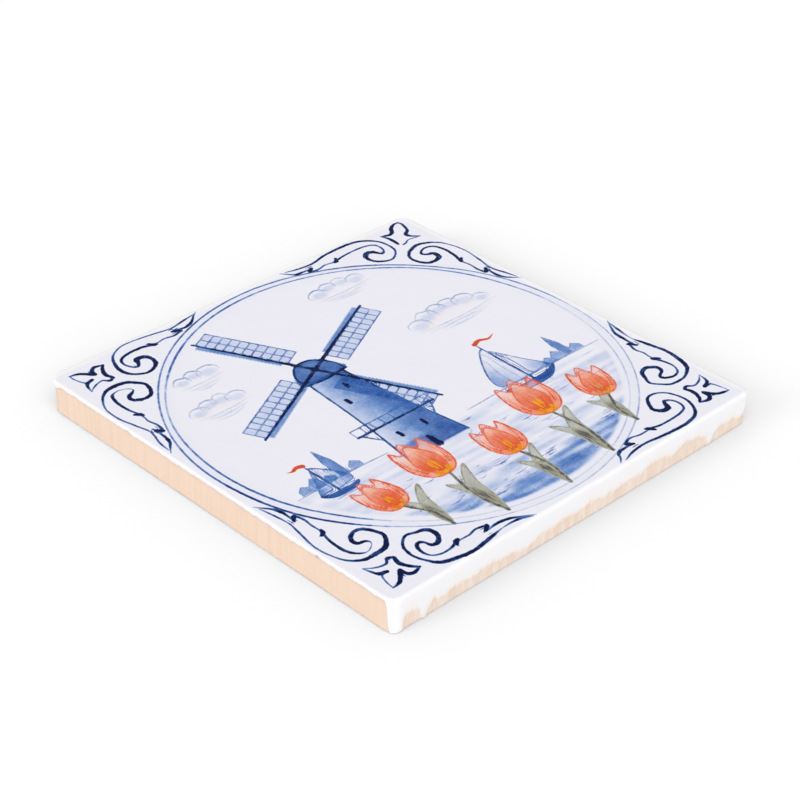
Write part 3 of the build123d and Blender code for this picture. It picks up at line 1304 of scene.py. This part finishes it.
    def _fields(self, mesh: bpy.types.Mesh, places: np.ndarray, face_count: int, glaze: dict[str, np.ndarray],
                painting: FacePainting) -> None:
        """Write the glaze and painting fields on the mesh's vertices.

        Args:
            mesh: The tile's mesh.
            places: All its points in millimetres.
            face_count: Number of points on the face.
            glaze: Fields of the band's points by name.
            painting: What is painted on the face.
        """
        smooth = {"lip_flaw": 0.0, "glaze_ragged": 0.0}
        rim_share = self._rim_share(places[:face_count, :2])
        on_face = {**smooth, "glaze_height": self.far_height, "rim_share": rim_share}
        on_back = {**smooth, "glaze_height": -self.far_height, "rim_share": 0.0}
        for name, band in glaze.items():
            values = np.full(len(places), on_back[name])
            values[:face_count] = on_face[name]
            values[face_count:face_count + band.size] = band.ravel()
            self._write(mesh, name, values)
        painted = face_count + self.shoulder_rows * glaze["rim_share"].shape[1]
        plan = places[:painted, :2]
        densities = {wash: layer.solve(plan) for wash, layer in painting.washes.items()}
        # Petals and leaves hide the blue that lies behind them
        flowers = densities[Wash.CORAL] + densities[Wash.LEAF]
        covered = np.clip(self.hiding * flowers - self.hiding_start, 0.0, 1.0)
        densities[Wash.BLUE] *= 1.0 - covered
        for brush, lines in painting.lines.items():
            nearest, gaps, tones = lines.solve(plan)
            if brush in (Brush.SCENE, Brush.HOOP, Brush.RING):
                tones *= 1.0 - covered
            fields = (("nearest", nearest, 0.0), ("gap", gaps, lines.far_gap), ("tone", tones, 0.0))
            for name, values, rest in fields:
                self._write(mesh, f"{brush.value}_{name}", self._padded(values, len(places), rest))
        for wash, density in densities.items():
            self._write(mesh, wash.value, self._padded(density, len(places), 0.0))

    def _rim_share(self, plan: np.ndarray) -> np.ndarray:
        """Distance from the nearest side as a share of that side's white rim, one value a point."""
        half = self.side / 2
        shares = [(half - plan @ np.array(side.value)) / wall.rim_width for side, wall in self.walls.items()]
        return np.min(shares, axis=0)

    @staticmethod
    def _padded(values: np.ndarray, count: int, rest: float) -> np.ndarray:
        """Lengthen an array to one row a vertex, with one value for the rest."""
        padded = np.full((count, *values.shape[1:]), rest)
        padded[:len(values)] = values
        return padded

    @staticmethod
    def _write(mesh: bpy.types.Mesh, name: str, values: np.ndarray) -> None:
        """Write one attribute of the mesh's vertices, of vectors where the values have columns."""
        kind, key = ("FLOAT_VECTOR", "vector") if values.ndim > 1 else ("FLOAT", "value")
        attribute = mesh.attributes.new(name, kind, "POINT")
        attribute.data.foreach_set(key, values.astype(np.float32).ravel())

    def _bake_layout(self, mesh: bpy.types.Mesh, places: np.ndarray, face_count: int,
                     unfolded: np.ndarray) -> None:
        """Lay the surface out flat: face with shoulder, four wall strips, and the back, none overlapping.

        Args:
            mesh: The tile's mesh.
            places: All its points in millimetres.
            face_count: Number of points on the face.
            unfolded: Distance run from the rim down each column, one row a row of the band.
        """
        columns = unfolded.shape[1]
        loops = np.empty(len(mesh.loops), dtype=np.int64)
        mesh.loops.foreach_get("vertex_index", loops)
        starts = np.empty(len(mesh.polygons), dtype=np.int64)
        totals = np.empty(len(mesh.polygons), dtype=np.int64)
        mesh.polygons.foreach_get("loop_start", starts)
        mesh.polygons.foreach_get("loop_total", totals)
        polygon = np.repeat(np.arange(len(starts)), totals)
        face_polygons = (self.face_lines - 1) ** 2
        row = (polygon - face_polygons) // columns
        column = (polygon - face_polygons) % columns
        on_face = polygon < face_polygons
        on_shoulder = ~on_face & (row < self.shoulder_rows)
        on_wall = ~on_face & ~on_shoulder & (row < len(unfolded))
        on_back = ~(on_face | on_shoulder | on_wall)

        face_share, margin = self.bake_face, self.bake_margin
        spread = self.side + self.bake_border
        scale = face_share / spread
        plan = places[:, :2].copy()
        ring_columns = np.arange(columns)
        across, upward = self._rim_parameters()
        full = np.ones_like(across)
        radius = self.inner_roundness * self._corner_radius(across, upward)
        rim = self._outline(across, upward, full * (self.side / 2 - self.inner_inset), radius)
        outward = places[face_count + ring_columns, :2] - rim
        outward /= np.linalg.norm(outward, axis=1, keepdims=True)
        band = rim[None] + outward[None] * unfolded[..., None]
        plan[face_count:face_count + unfolded.size] = band.reshape(-1, 2)
        layout = np.empty((len(loops), 2))
        flat = (plan + spread / 2) * scale + margin / 2
        layout[on_face | on_shoulder] = flat[loops[on_face | on_shoulder]]

        per_side = columns // 4
        side_of = np.minimum(column // per_side, 3)
        level = np.zeros(len(places))
        level[face_count:face_count + unfolded.size] = (unfolded - unfolded[self.shoulder_rows - 1]).ravel()
        spot = np.zeros(len(places), dtype=np.int64)
        spot[face_count:face_count + unfolded.size] = np.tile(ring_columns, len(unfolded))
        run = (spot[loops] - side_of * per_side) % columns
        length = face_share * run / per_side + margin / 2
        depth = level[loops] * scale + face_share + margin + self.bake_strip * (side_of % 2)
        upright = side_of >= 2
        layout[on_wall, 0] = np.where(upright, depth, length)[on_wall]
        layout[on_wall, 1] = np.where(upright, length, depth)[on_wall]
        back_share = 1.0 - face_share - 3 * margin
        back_start = face_share + 2 * margin
        layout[on_back] = (places[loops[on_back], :2] / self.side + 0.5) * back_share + back_start
        layer = mesh.uv_layers.new(name="OFBake")
        layer.data.foreach_set("uv", np.clip(layout, 0.0, 1.0).astype(np.float32).ravel())


class NodeBench:
    """Short hand for laying out shader nodes in one tree."""

    def __init__(self, tree: bpy.types.NodeTree) -> None:
        """Work on a tree.

        Args:
            tree: The tree of a material or a node group.
        """
        self.tree = tree
        self.column = 0

    def add(self, kind: str, **settings: object) -> bpy.types.Node:
        """Add a node and set its properties."""
        node = self.tree.nodes.new(kind)
        node.location = (self.column % 12 * 190.0, -(self.column // 12) * 220.0)
        self.column += 1
        for name, value in settings.items():
            setattr(node, name, value)
        return node

    def put(self, socket: bpy.types.NodeSocket, value: object) -> None:
        """Link a socket to an output, or set it to a plain value."""
        if isinstance(value, bpy.types.NodeSocket):
            self.tree.links.new(value, socket)
        else:
            socket.default_value = value

    def math(self, operation: str, *values: object) -> bpy.types.NodeSocket:
        """Combine numbers with one Math node."""
        node = self.add("ShaderNodeMath", operation=operation)
        for socket, value in zip(node.inputs, values):
            self.put(socket, value)
        return node.outputs[0]

    def vector(self, operation: str, *values: object) -> bpy.types.NodeSocket:
        """Combine vectors with one Vector Math node; the result is its vector."""
        node = self.add("ShaderNodeVectorMath", operation=operation)
        for socket, value in zip(node.inputs, values):
            self.put(socket, value)
        return node.outputs["Vector"]

    def ease(self, value: object, low: object, high: object) -> bpy.types.NodeSocket:
        """Ease a value from 0 at low to 1 at high."""
        node = self.add("ShaderNodeMapRange", interpolation_type="SMOOTHSTEP")
        for socket, setting in zip(node.inputs, (value, low, high, 0.0, 1.0)):
            self.put(socket, setting)
        return node.outputs["Result"]

    def span(self, value: object, low: float, high: float) -> bpy.types.NodeSocket:
        """Carry a value of 0 to 1 to the span from low to high."""
        node = self.add("ShaderNodeMapRange")
        for socket, setting in zip(node.inputs, (value, 0.0, 1.0, low, high)):
            self.put(socket, setting)
        return node.outputs["Result"]

    def noise(self, place: object, scale: float, detail: float = 2.0,
              rough: float = 0.5) -> bpy.types.NodeSocket:
        """Noise of 0 to 1 with features of about one over the scale."""
        node = self.add("ShaderNodeTexNoise")
        self.put(node.inputs["Vector"], place)
        node.inputs["Scale"].default_value = scale
        node.inputs["Detail"].default_value = detail
        node.inputs["Roughness"].default_value = rough
        return node.outputs["Fac"]

    def mix(self, share: object, first: object, second: object) -> bpy.types.NodeSocket:
        """Mix two colours by a share."""
        node = self.add("ShaderNodeMix", data_type="RGBA")
        self.put(node.inputs["Factor"], share)
        for name, colour in (("A", first), ("B", second)):
            socket = next(item for item in node.inputs if item.name == name and item.type == "RGBA")
            self.put(socket, colour)
        return next(item for item in node.outputs if item.type == "RGBA")

    def attribute(self, name: str, output: str = "Fac") -> bpy.types.NodeSocket:
        """Read a field of the mesh."""
        return self.add("ShaderNodeAttribute", attribute_name=name).outputs[output]

    def group(self, tree: bpy.types.NodeTree, **values: object) -> bpy.types.NodeSocket:
        """Place a node group and set its inputs by name."""
        node = self.add("ShaderNodeGroup", node_tree=tree)
        for name, value in values.items():
            self.put(node.inputs[name], value)
        return node.outputs[0]

    def seen_ray(self) -> bpy.types.NodeSocket:
        """Tell the rays that are seen, straight, mirrored or through glass, from those that only light."""
        rays = self.add("ShaderNodeLightPath").outputs
        indirect = self.math("MAXIMUM", rays["Is Glossy Ray"], rays["Is Transmission Ray"])
        return self.math("MAXIMUM", rays["Is Camera Ray"], indirect)


Colour = tuple[float, float, float, float]
WHITE: Colour = (1.0, 1.0, 1.0, 1.0)


def paint_colour(red: int, green: int, blue: int) -> Colour:
    """Turn a colour of 0 to 255 as it looks on screen into linear light.

    Args:
        red: Red, 0 to 255.
        green: Green, 0 to 255.
        blue: Blue, 0 to 255.

    Returns:
        The linear colour with full alpha.
    """
    def linear(value: int) -> float:
        share = value / 255.0
        return share / 12.92 if share <= 0.04045 else ((share + 0.055) / 1.055) ** 2.4

    return linear(red), linear(green), linear(blue), 1.0


@dataclass(frozen=True)
class GlazeFinish:
    """White tin glaze: faintly lavender on the face, thinner and whiter where it rolls over the edge."""

    face: Colour = paint_colour(238, 237, 245)
    rim: Colour = paint_colour(246, 245, 247)
    thin: Colour = paint_colour(253, 239, 226)
    bounce: Colour = paint_colour(146, 146, 148)
    roughness: float = 0.2
    specular: float = 0.04
    raggedness: float = 4.4
    veil: tuple[float, float] = (0.4, 0.88)
    lip_softness: float = 0.4
    run_softness: float = 1.3
    patchiness: float = 0.8
    refraction: float = 1.5


@dataclass(frozen=True)
class ClayFinish:
    """Bare fired clay: pale peach, matt, with the marks of the cutting wire."""

    pale: Colour = paint_colour(235, 209, 187)
    deep: Colour = paint_colour(226, 197, 170)
    # Darker clay for the small dark specks, also used for the painted shade at the foot of the walls and
    # under the glaze lip
    speck_and_shade: Colour = paint_colour(204, 168, 142)
    nick: Colour = paint_colour(138, 122, 112)
    roughness: float = 0.85


@dataclass(frozen=True)
class Pigments:
    """The painter's colours on the glaze, thin and full."""

    blue_thin: Colour = paint_colour(122, 160, 216)
    blue_full: Colour = paint_colour(30, 72, 150)
    navy: Colour = paint_colour(3, 14, 62)
    line_blue: Colour = paint_colour(58, 110, 184)
    ring_blue: Colour = paint_colour(84, 130, 198)
    ring_deep: Colour = paint_colour(20, 50, 116)
    coral_thin: Colour = paint_colour(246, 188, 164)
    coral_full: Colour = paint_colour(226, 92, 48)
    petal_line: Colour = paint_colour(206, 78, 42)
    ochre: Colour = paint_colour(238, 172, 34)
    leaf: Colour = paint_colour(172, 172, 152)
    stem: Colour = paint_colour(92, 88, 88)


@dataclass
class TileMaterial:
    """The one material of the tile: pigment on glaze, glaze over clay, told apart by the mesh's fields."""

    glaze: GlazeFinish = field(default_factory=GlazeFinish)
    clay: ClayFinish = field(default_factory=ClayFinish)
    pigments: Pigments = field(default_factory=Pigments)
    line_softness: float = 0.19
    relief_strength: float = 0.5
    relief_depth: float = 0.1

    @staticmethod
    def _new_group(name: str, inputs: Sequence[tuple[str, str]],
                   output: tuple[str, str]) -> bpy.types.NodeTree:
        """Start a node group with named sockets.

        Args:
            name: The group's name.
            inputs: Name and socket type of each input.
            output: Name and socket type of the output.

        Returns:
            The group, with its input and output nodes in place.
        """
        tree = bpy.data.node_groups.new(name, "ShaderNodeTree")
        for label, kind in inputs:
            tree.interface.new_socket(name=label, in_out="INPUT", socket_type=kind)
        tree.interface.new_socket(name=output[0], in_out="OUTPUT", socket_type=output[1])
        tree.nodes.new("NodeGroupInput")
        tree.nodes.new("NodeGroupOutput")
        return tree

    def brush_line(self) -> bpy.types.NodeTree:
        """Group that redraws a brush line: distance to its nearest point against a wavering half width."""
        inputs = (("Place", "NodeSocketVector"), ("Nearest", "NodeSocketVector"), ("Gap", "NodeSocketFloat"),
                  ("Tone", "NodeSocketFloat"), ("Softness", "NodeSocketFloat"))
        tree = self._new_group("brush line", inputs, ("Ink", "NodeSocketFloat"))
        bench = NodeBench(tree)
        given = tree.nodes["Group Input"].outputs
        place, nearest = bench.add("ShaderNodeSeparateXYZ"), bench.add("ShaderNodeSeparateXYZ")
        bench.put(place.inputs[0], given["Place"])
        bench.put(nearest.inputs[0], given["Nearest"])
        across = bench.math("SUBTRACT", place.outputs[0], nearest.outputs[0])
        upward = bench.math("SUBTRACT", place.outputs[1], nearest.outputs[1])
        squares = [bench.math("MULTIPLY", step, step) for step in (across, upward)]
        distance = bench.math("SQRT", bench.math("ADD", *squares))
        waver = bench.span(bench.noise(given["Place"], 0.9, 3.0, 0.6), 0.55, 1.45)
        half = bench.math("MULTIPLY", nearest.outputs[2], waver)
        edge = bench.ease(distance, bench.math("ADD", half, given["Softness"]),
                          bench.math("SUBTRACT", half, given["Softness"]))
        gate = bench.ease(given["Gap"], 0.62, 0.42)
        pool = bench.span(bench.noise(given["Place"], 0.42, 3.0, 0.6), 0.3, 1.5)
        load = bench.span(bench.ease(nearest.outputs[2], 0.18, 0.52), 0.62, 1.05)
        flow = bench.math("MULTIPLY", bench.math("MULTIPLY", pool, load), given["Tone"])
        ink = bench.math("MULTIPLY", bench.math("MULTIPLY", edge, gate), flow)
        result = tree.nodes["Group Output"].inputs["Ink"]
        bench.put(result, bench.math("MINIMUM", bench.math("MAXIMUM", ink, 0.0), 1.0))
        return tree

    def brush_wash(self) -> bpy.types.NodeTree:
        """Group that gives a wash its unevenness: broad clouding and a finer grain."""
        inputs = (("Place", "NodeSocketVector"), ("Density", "NodeSocketFloat"))
        tree = self._new_group("brush wash", inputs, ("Ink", "NodeSocketFloat"))
        bench = NodeBench(tree)
        given = tree.nodes["Group Input"].outputs
        broad = bench.span(bench.noise(given["Place"], 0.22, 3.0, 0.6), 0.55, 1.4)
        grain = bench.span(bench.noise(given["Place"], 1.7, 3.0, 0.65), 0.72, 1.25)
        ink = bench.math("MULTIPLY", given["Density"], bench.math("MULTIPLY", broad, grain))
        result = tree.nodes["Group Output"].inputs["Ink"]
        bench.put(result, bench.math("MINIMUM", bench.math("MAXIMUM", ink, 0.0), 1.0))
        return tree

    def build(self) -> bpy.types.Material:
        """Make the material.

        Returns:
            The material, ready for the tile's slot.
        """
        material = bpy.data.materials.new("glazed_clay")
        material.use_nodes = True
        tree = material.node_tree
        bench = NodeBench(tree)
        shader = tree.nodes["Principled BSDF"]
        coordinates = bench.add("ShaderNodeTexCoord").outputs["Object"]
        place = bench.vector("SCALE", coordinates)
        place.node.inputs["Scale"].default_value = 1.0 / MM
        cover = self._cover(bench, place)
        painted = self._painted(bench, place)
        bare = self._bare(bench, place)
        chipping = bench.span(bench.noise(place, 1.3, 3.0), 0.4, 1.3)
        nicked = bench.math("MULTIPLY", bench.attribute("lip_flaw"), chipping)
        seen = bench.mix(nicked, bench.mix(cover, bare, painted), self.clay.nick)
        # Diffuse bounces see a greyer tile, so that it throws less light into its own shadow
        bounced = bench.add("ShaderNodeLightPath").outputs["Is Diffuse Ray"]
        bench.put(shader.inputs["Base Color"], bench.mix(bounced, seen, self.glaze.bounce))
        bench.put(shader.inputs["Roughness"], bench.span(cover, self.clay.roughness, self.glaze.roughness))
        shader.inputs["IOR"].default_value = self.glaze.refraction
        shader.inputs["Specular IOR Level"].default_value = self.glaze.specular
        bench.put(shader.inputs["Normal"], self._relief(bench, place, cover))
        return material

    def _cover(self, bench: NodeBench, place: bpy.types.NodeSocket) -> bpy.types.NodeSocket:
        """Share of glaze over clay: height above the glaze's edge, broken up by upright streaks."""
        streaks = bench.noise(bench.vector("MULTIPLY", place, (1.0, 1.0, 0.14)), 0.85, 5.0, 0.7)
        height, ragged = bench.attribute("glaze_height"), bench.attribute("glaze_ragged")
        fading = bench.span(bench.ease(height, 0.0, 6.0), self.glaze.raggedness, 0.0)
        spread = bench.math("MULTIPLY", ragged, fading)
        edge = bench.math("ADD", height, bench.math("MULTIPLY", bench.span(streaks, -1.0, 1.0), spread))
        soft = bench.span(ragged, self.glaze.lip_softness, self.glaze.run_softness)
        solid = bench.ease(edge, bench.math("MULTIPLY", soft, -1.0), soft)
        wisps = bench.noise(bench.vector("MULTIPLY", place, (1.0, 1.0, 0.22)), 0.5, 5.0, 0.7)
        veil = bench.math("MULTIPLY", bench.span(bench.ease(wisps, 0.4, 0.7), *self.glaze.veil), ragged)
        return bench.math("MAXIMUM", solid, veil)

    def _painted(self, bench: NodeBench, place: bpy.types.NodeSocket) -> bpy.types.NodeSocket:
        """Colour of the glaze with all its pigment, laid on in the painter's order."""
        pigments = self.pigments
        height = bench.attribute("glaze_height")
        cloud = bench.span(bench.noise(place, 0.3, 3.0), -0.35, 0.35)
        inward = bench.math("ADD", bench.attribute("rim_share"), cloud)
        body = bench.mix(bench.ease(inward, 0.4, 1.0), self.glaze.rim, self.glaze.face)
        patches = bench.noise(bench.vector("MULTIPLY", place, (1.0, 1.0, 0.6)), 0.5, 4.0, 0.65)
        fading = bench.span(bench.ease(height, 0.5, 5.5), self.glaze.patchiness, 0.0)
        patchy = bench.math("MULTIPLY", bench.ease(patches, 0.5, 0.68), fading)
        drained = bench.math("MAXIMUM", bench.ease(height, 2.2, -0.4), patchy)
        thinness = bench.math("MULTIPLY", drained, bench.attribute("glaze_ragged"))
        colour = bench.mix(thinness, body, self.glaze.thin)
        wash, line = self.brush_wash(), self.brush_line()
        layers = (
            (Wash.BLUE, pigments.blue_thin, pigments.blue_full),
            (Wash.LEAF, pigments.leaf, pigments.stem),
            (Wash.CORAL, pigments.coral_thin, pigments.coral_full),
            (Wash.OCHRE, pigments.ochre, pigments.ochre),
        )
        inks = (
            (Brush.SCENE, pigments.line_blue, pigments.navy),
            (Brush.STEM, pigments.leaf, pigments.stem),
            (Brush.PETAL, pigments.coral_full, pigments.petal_line),
            (Brush.HOOP, pigments.ring_blue, pigments.ring_deep),
            (Brush.RING, pigments.ring_blue, pigments.ring_deep),
            (Brush.TAIL, pigments.line_blue, pigments.navy),
            (Brush.SCROLL, pigments.line_blue, pigments.navy),
        )
        for pigment, thin, full in layers:
            ink = bench.group(wash, Place=place, Density=bench.attribute(pigment.value))
            strength = bench.ease(ink, 0.0, 0.55)
            colour = bench.mix(strength, colour, bench.mix(bench.ease(ink, 0.2, 1.0), thin, full))
        for brush, thin, full in inks:
            ink = bench.group(
                line,
                Place=place,
                Nearest=bench.attribute(brush.value + "_nearest", "Vector"),
                Gap=bench.attribute(brush.value + "_gap"),
                Tone=bench.attribute(brush.value + "_tone"),
                Softness=self.line_softness,
            )
            strength = bench.ease(ink, 0.0, 0.62)
            colour = bench.mix(strength, colour, bench.mix(bench.ease(ink, 0.4, 0.95), thin, full))
        return colour

    def _bare(self, bench: NodeBench, place: bpy.types.NodeSocket) -> bpy.types.NodeSocket:
        """Colour of the bare clay: slow clouding, upright cut marks, small dark specks, and painted shade at
        the foot and under the glaze lip.
        """
        clouds = bench.noise(place, 0.07, 3.0)
        marks = bench.noise(bench.vector("MULTIPLY", place, (1.0, 1.0, 0.05)), 0.6, 5.0, 0.7)
        blend = bench.math("MULTIPLY", bench.ease(marks, 0.36, 0.64), bench.ease(clouds, 0.1, 0.7))
        body = bench.mix(bench.math("MULTIPLY", blend, 0.5), self.clay.pale, self.clay.deep)
        specks = bench.ease(bench.noise(place, 1.6, 2.0), 0.7, 0.8)
        upright = bench.add("ShaderNodeSeparateXYZ")
        bench.put(upright.inputs[0], place)
        # Painted contact shade along the foot of the walls, broken into patches by noise
        patchy = bench.ease(bench.noise(place, 0.16, 4.0, 0.65), 0.42, 0.66)
        foot = bench.math("MULTIPLY", bench.ease(upright.outputs[2], 0.75, 0.15), patchy)
        # Painted shadow on the clay just under the glaze lip, on the walls where the glaze edge is crisp
        under_lip = bench.math("MULTIPLY", bench.ease(bench.attribute("glaze_height"), -0.75, -0.1), 0.7)
        lip_shadow = bench.math("MULTIPLY", under_lip, bench.span(bench.attribute("glaze_ragged"), 1.0, 0.0))
        # The dark specks and the painted shade at the foot and under the lip all pull the clay towards the
        # darker colour
        edge_shade = bench.math("MAXIMUM", foot, lip_shadow)
        specks_and_shade = bench.math("MAXIMUM", edge_shade, bench.math("MULTIPLY", specks, 0.6))
        return bench.mix(bench.math("MULTIPLY", specks_and_shade, 0.75), body, self.clay.speck_and_shade)

    def _relief(self, bench: NodeBench, place: bpy.types.NodeSocket,
                cover: bpy.types.NodeSocket) -> bpy.types.NodeSocket:
        """Fine relief: a soft orange peel in the glaze, and grain with cut marks in the clay."""
        peel = bench.math("MULTIPLY", bench.noise(place, 0.45, 2.0), 0.25)
        grain = bench.noise(place, 3.2, 4.0, 0.7)
        marks = bench.noise(bench.vector("MULTIPLY", place, (1.0, 1.0, 0.04)), 1.6, 3.0, 0.6)
        clay = bench.math("ADD", bench.math("MULTIPLY", grain, 0.45), bench.math("MULTIPLY", marks, 0.7))
        node = bench.add("ShaderNodeMix", data_type="FLOAT")
        bench.put(node.inputs[0], cover)
        bench.put(node.inputs[2], clay)
        bench.put(node.inputs[3], peel)
        bump = bench.add("ShaderNodeBump")
        bump.inputs["Strength"].default_value = self.relief_strength
        bump.inputs["Distance"].default_value = self.relief_depth * MM
        bench.put(bump.inputs["Height"], node.outputs[0])
        return bump.outputs["Normal"]


@dataclass(frozen=True)
class Lamp:
    """A far soft lamp: where it shines from, its strength, and how wide it looks in degrees."""

    name: str
    source: tuple[float, float, float]
    strength: float
    spread: float


@dataclass
class Studio:
    """The pale floor, the soft light and the camera that sees the tile from above its near corner."""

    side: float
    azimuth: float = -44.76
    elevation: float = 33.23
    roll: float = 1.02
    distance_sides: float = 4.464
    target_sides: Point = (0.041, 0.037)
    focal_pixels: float = 2180.0
    image_pixels: float = 800.0
    sensor: float = 36.0
    clip_start: float = 0.01
    floor_reach: float = 4.0
    floor_drop: float = 0.0001
    floor_tone: float = 0.9
    floor_glow: float = 0.13
    ambient: float = 0.55
    lamps: tuple[Lamp, ...] = (
        Lamp("window", (-0.9, 0.18, 0.41), 0.74, 26.0),
        Lamp("reflector", (-0.45, -0.6, 0.66), 1.58, 70.0),
    )

    def build(self) -> None:
        """Make the floor, the light and the camera."""
        self._floor()
        self._light()
        self._camera()

    def _floor(self) -> None:
        """A wide level floor, near white, which keeps the tile's soft shadow."""
        reach = self.floor_reach
        corners = np.array([(-1, -1), (1, -1), (1, 1), (-1, 1)], dtype=float) * reach
        points = np.column_stack([corners, np.full(4, -self.floor_drop)])
        mesh = bpy.data.meshes.new("floor")
        mesh.from_pydata(points.tolist(), [], [[0, 1, 2, 3]])
        floor = bpy.data.objects.new("floor", mesh)
        bpy.context.scene.collection.objects.link(floor)
        material = bpy.data.materials.new("floor_paper")
        material.use_nodes = True
        tree = material.node_tree
        tree.nodes.clear()
        bench = NodeBench(tree)
        paper = bench.add("ShaderNodeBsdfDiffuse")
        paper.inputs["Color"].default_value = (self.floor_tone, self.floor_tone, self.floor_tone, 1.0)
        glow = bench.add("ShaderNodeEmission")
        glow.inputs["Color"].default_value = WHITE
        bench.put(glow.inputs["Strength"], bench.math("MULTIPLY", bench.seen_ray(), self.floor_glow))
        both = bench.add("ShaderNodeAddShader")
        bench.put(both.inputs[0], paper.outputs[0])
        bench.put(both.inputs[1], glow.outputs[0])
        output = bench.add("ShaderNodeOutputMaterial")
        bench.put(output.inputs["Surface"], both.outputs[0])
        mesh.materials.append(material)

    def _light(self) -> None:
        """An even pale world, a lamp from the left for the shadows, and a wider one over the near corner."""
        world = bpy.data.worlds.new("studio")
        bpy.context.scene.world = world
        world.use_nodes = True
        tree = world.node_tree
        bench = NodeBench(tree)
        ground = tree.nodes["Background"]
        ground.inputs["Color"].default_value = WHITE
        bench.put(ground.inputs["Strength"], bench.span(bench.seen_ray(), self.ambient, 1.0))
        for lamp in self.lamps:
            light = bpy.data.lights.new(lamp.name, "SUN")
            light.energy = lamp.strength
            light.angle = math.radians(lamp.spread)
            stand = bpy.data.objects.new(lamp.name, light)
            stand.rotation_euler = (-Vector(lamp.source)).to_track_quat("-Z", "Y").to_euler()
            bpy.context.scene.collection.objects.link(stand)

    def _camera(self) -> None:
        """The camera of the photograph: its direction, distance, roll and focal length."""
        turn, rise, roll = (math.radians(angle) for angle in (self.azimuth, self.elevation, self.roll))
        back = Vector((math.sin(turn) * math.cos(rise), -math.cos(turn) * math.cos(rise), math.sin(rise)))
        level = Vector((0.0, 0.0, 1.0)).cross(back).normalized()
        upright = back.cross(level)
        right = level * math.cos(roll) + upright * math.sin(roll)
        up = upright * math.cos(roll) - level * math.sin(roll)
        side = self.side * MM
        target = Vector((self.target_sides[0] * side, self.target_sides[1] * side, 0.0))
        data = bpy.data.cameras.new("view")
        data.sensor_width = self.sensor
        data.lens = self.focal_pixels / self.image_pixels * self.sensor
        data.clip_start = self.clip_start
        camera = bpy.data.objects.new("view", data)
        turned_axes = Matrix((right, up, back)).transposed().to_4x4()
        camera.matrix_world = Matrix.Translation(target + back * self.distance_sides * side) @ turned_axes
        bpy.context.scene.collection.objects.link(camera)
        bpy.context.scene.camera = camera


def paint_face(half_side: float) -> FacePainting:
    """Paint the face: ornament first, then the picture inside the ring.

    Args:
        half_side: Half the tile's side in millimetres.

    Returns:
        The painting, ready to be laid on the mesh.
    """
    painting = FacePainting(half_side)
    CornerScrolls().paint(painting)
    Roundel().paint(painting)
    Waterside().paint(painting)
    Windmill().paint(painting)
    Ship((27.0, -24.5), 1.0).paint(painting)
    Ship((-43.0, -26.0), 0.62, flip=True).paint(painting)
    tulips = (
        Tulip((-37.0, -40.0), (-33.0, -53.0), 10.0, 0.95),
        Tulip((-19.0, -37.5), (-19.5, -58.0), 4.0, 1.15, True),
        Tulip((0.5, -43.0), (0.0, -60.5), -3.0, 1.0),
        Tulip((19.5, -36.5), (18.0, -58.5), -6.0, 1.2),
        Tulip((36.5, -40.5), (33.0, -53.5), -12.0, 0.95, True),
    )
    for tulip in tulips:
        tulip.paint(painting)
    return painting


def main() -> None:
    """Build the tile from the part's size, and its studio."""
    logging.basicConfig(level=logging.INFO, format="%(name)s: %(message)s")
    low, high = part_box(NODE)
    side = (high[0] - low[0]) / MM
    thickness = (high[2] - low[2]) / MM
    LOG.info("tile of %.1f by %.1f mm", side, thickness)
    painting = paint_face(side / 2)
    piece = TileForm(side, thickness).build(painting)
    piece.data.materials.append(TileMaterial().build())
    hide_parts(NODE)
    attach(piece, BODY)
    LOG.info("%s rides on %s in place of %s", piece.name, BODY, NODE)
    Studio(side).build()
    bpy.context.scene.view_settings.view_transform = "Standard"
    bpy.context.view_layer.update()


if __name__ == "__main__":
    main()
